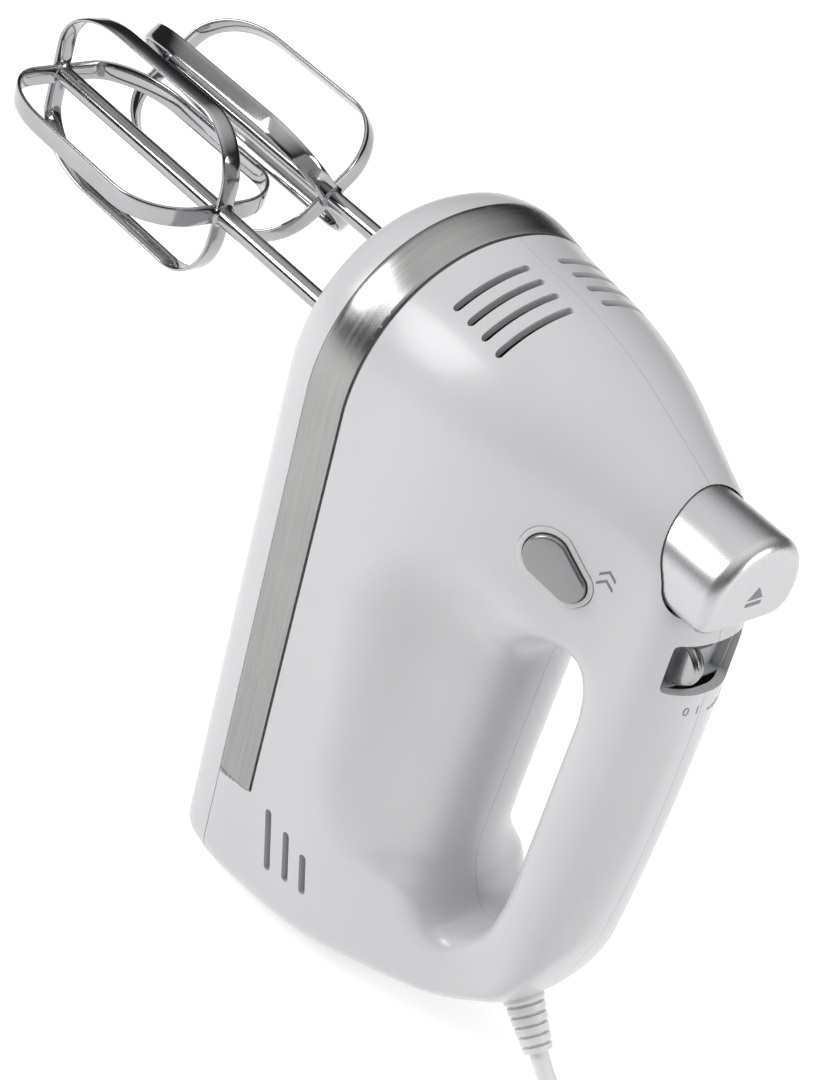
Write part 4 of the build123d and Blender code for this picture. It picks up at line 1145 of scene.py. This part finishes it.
# ------------------------------------------------------------------ add-on
class MixerSettings(bpy.types.PropertyGroup):
    """Sizes, colours and light that a user would change."""

    skin_step: bpy.props.FloatProperty(
        name="Skin step", description="Spacing of the points on the housing's skin", default=1.5 * MM,
        min=0.8 * MM, max=4 * MM, precision=5, subtype="DISTANCE", unit="LENGTH")
    wall: bpy.props.FloatProperty(
        name="Housing wall", description="Thickness of the housing's wall", default=WALL * MM,
        min=1 * MM, max=5 * MM, precision=5, subtype="DISTANCE", unit="LENGTH")
    housing_colour: bpy.props.FloatVectorProperty(
        name="Housing colour", description="Colour of the shells and the base cover",
        default=(0.585, 0.585, 0.597), size=3, min=0.0, max=1.0, subtype="COLOR")
    band_colour: bpy.props.FloatVectorProperty(
        name="Trim band colour", description="Colour of the brushed band",
        default=(0.33, 0.3275, 0.325), size=3, min=0.0, max=1.0, subtype="COLOR")
    beater_colour: bpy.props.FloatVectorProperty(
        name="Beater colour", description="Colour of the beaters' steel",
        default=(0.39, 0.39, 0.3965), size=3, min=0.0, max=1.0, subtype="COLOR")
    knob_colour: bpy.props.FloatVectorProperty(
        name="Knob colour", description="Colour of the eject knob",
        default=(0.54, 0.54, 0.55), size=3, min=0.0, max=1.0, subtype="COLOR")
    cord_colour: bpy.props.FloatVectorProperty(
        name="Cord colour", description="Colour of the cord, its strain relief and its plug",
        default=(0.76, 0.76, 0.76), size=3, min=0.0, max=1.0, subtype="COLOR")
    ambient: bpy.props.FloatProperty(
        name="Surrounding light", description="Strength of the light from overhead", default=1.2, min=0.0,
        max=5.0)
    key_power: bpy.props.FloatProperty(
        name="Key light", description="Power of the main soft light", default=8.5, min=0.0, max=500.0,
        unit="POWER")


def operator_job(job, context):
    """Runs one building job with the scene's settings."""
    job(context.scene.hand_mixer)
    return {"FINISHED"}


class MIXER_OT_camera(bpy.types.Operator):
    """Sets up the camera"""

    bl_idname = "mixer.camera"
    bl_label = "Camera"

    def execute(self, context):
        build_camera()
        return {"FINISHED"}


class MIXER_OT_cord(bpy.types.Operator):
    """Makes the cord, its strain relief and its plug"""

    bl_idname = "mixer.cord"
    bl_label = "Cord"

    def execute(self, context):
        return operator_job(build_cord, context)


class MIXER_OT_housing(bpy.types.Operator):
    """Makes the shells, the base cover and the trim band"""

    bl_idname = "mixer.housing"
    bl_label = "Housing"

    def execute(self, context):
        return operator_job(build_housing, context)


class MIXER_OT_beaters(bpy.types.Operator):
    """Makes the two beaters"""

    bl_idname = "mixer.beaters"
    bl_label = "Beaters"

    def execute(self, context):
        return operator_job(build_beaters, context)


class MIXER_OT_knob(bpy.types.Operator):
    """Makes the eject knob"""

    bl_idname = "mixer.knob"
    bl_label = "Eject knob"

    def execute(self, context):
        return operator_job(build_knob, context)


class MIXER_OT_turbo(bpy.types.Operator):
    """Makes the turbo button and its ring"""

    bl_idname = "mixer.turbo"
    bl_label = "Turbo button"

    def execute(self, context):
        return operator_job(build_turbo, context)


class MIXER_OT_slider(bpy.types.Operator):
    """Makes the speed slider, its recess and its scale"""

    bl_idname = "mixer.slider"
    bl_label = "Speed slider"

    def execute(self, context):
        return operator_job(build_slider, context)


class MIXER_OT_collars(bpy.types.Operator):
    """Makes the rings round the beater sockets"""

    bl_idname = "mixer.collars"
    bl_label = "Socket rings"

    def execute(self, context):
        return operator_job(build_collars, context)


class MIXER_OT_inside(bpy.types.Operator):
    """Gives the motor, gears and other inside parts their materials"""

    bl_idname = "mixer.inside"
    bl_label = "Inside finishes"

    def execute(self, context):
        return operator_job(finish_inside, context)


class MIXER_OT_studio(bpy.types.Operator):
    """Makes the floor, the lights and the surroundings"""

    bl_idname = "mixer.studio"
    bl_label = "Studio"

    def execute(self, context):
        return operator_job(build_studio, context)


STEPS = (MIXER_OT_camera, MIXER_OT_cord, MIXER_OT_housing, MIXER_OT_beaters, MIXER_OT_knob, MIXER_OT_turbo,
         MIXER_OT_slider, MIXER_OT_collars, MIXER_OT_inside, MIXER_OT_studio)


class MIXER_PT_panel(bpy.types.Panel):
    """Sidebar panel that lists the building steps"""

    bl_idname = "MIXER_PT_panel"
    bl_label = "Hand mixer"
    bl_space_type = "VIEW_3D"
    bl_region_type = "UI"
    bl_category = "Mixer"

    def draw(self, context):
        for key in MixerSettings.__annotations__:
            self.layout.prop(context.scene.hand_mixer, key)
        for step in STEPS:
            self.layout.operator(step.bl_idname)


def register():
    """Registers the settings, the steps and the panel."""
    for part in (MixerSettings, *STEPS, MIXER_PT_panel):
        bpy.utils.register_class(part)
    bpy.types.Scene.hand_mixer = bpy.props.PointerProperty(type=MixerSettings)


def unregister():
    """Takes them away again."""
    del bpy.types.Scene.hand_mixer
    for part in (MIXER_PT_panel, *reversed(STEPS), MixerSettings):
        bpy.utils.unregister_class(part)


def main():
    """Builds everything in order."""
    register()
    FINISHES.update(make_finishes(bpy.context.scene.hand_mixer))
    for step in STEPS:
        group, name = step.bl_idname.split(".")
        getattr(getattr(bpy.ops, group), name)()


if __name__ == "__main__":
    main()
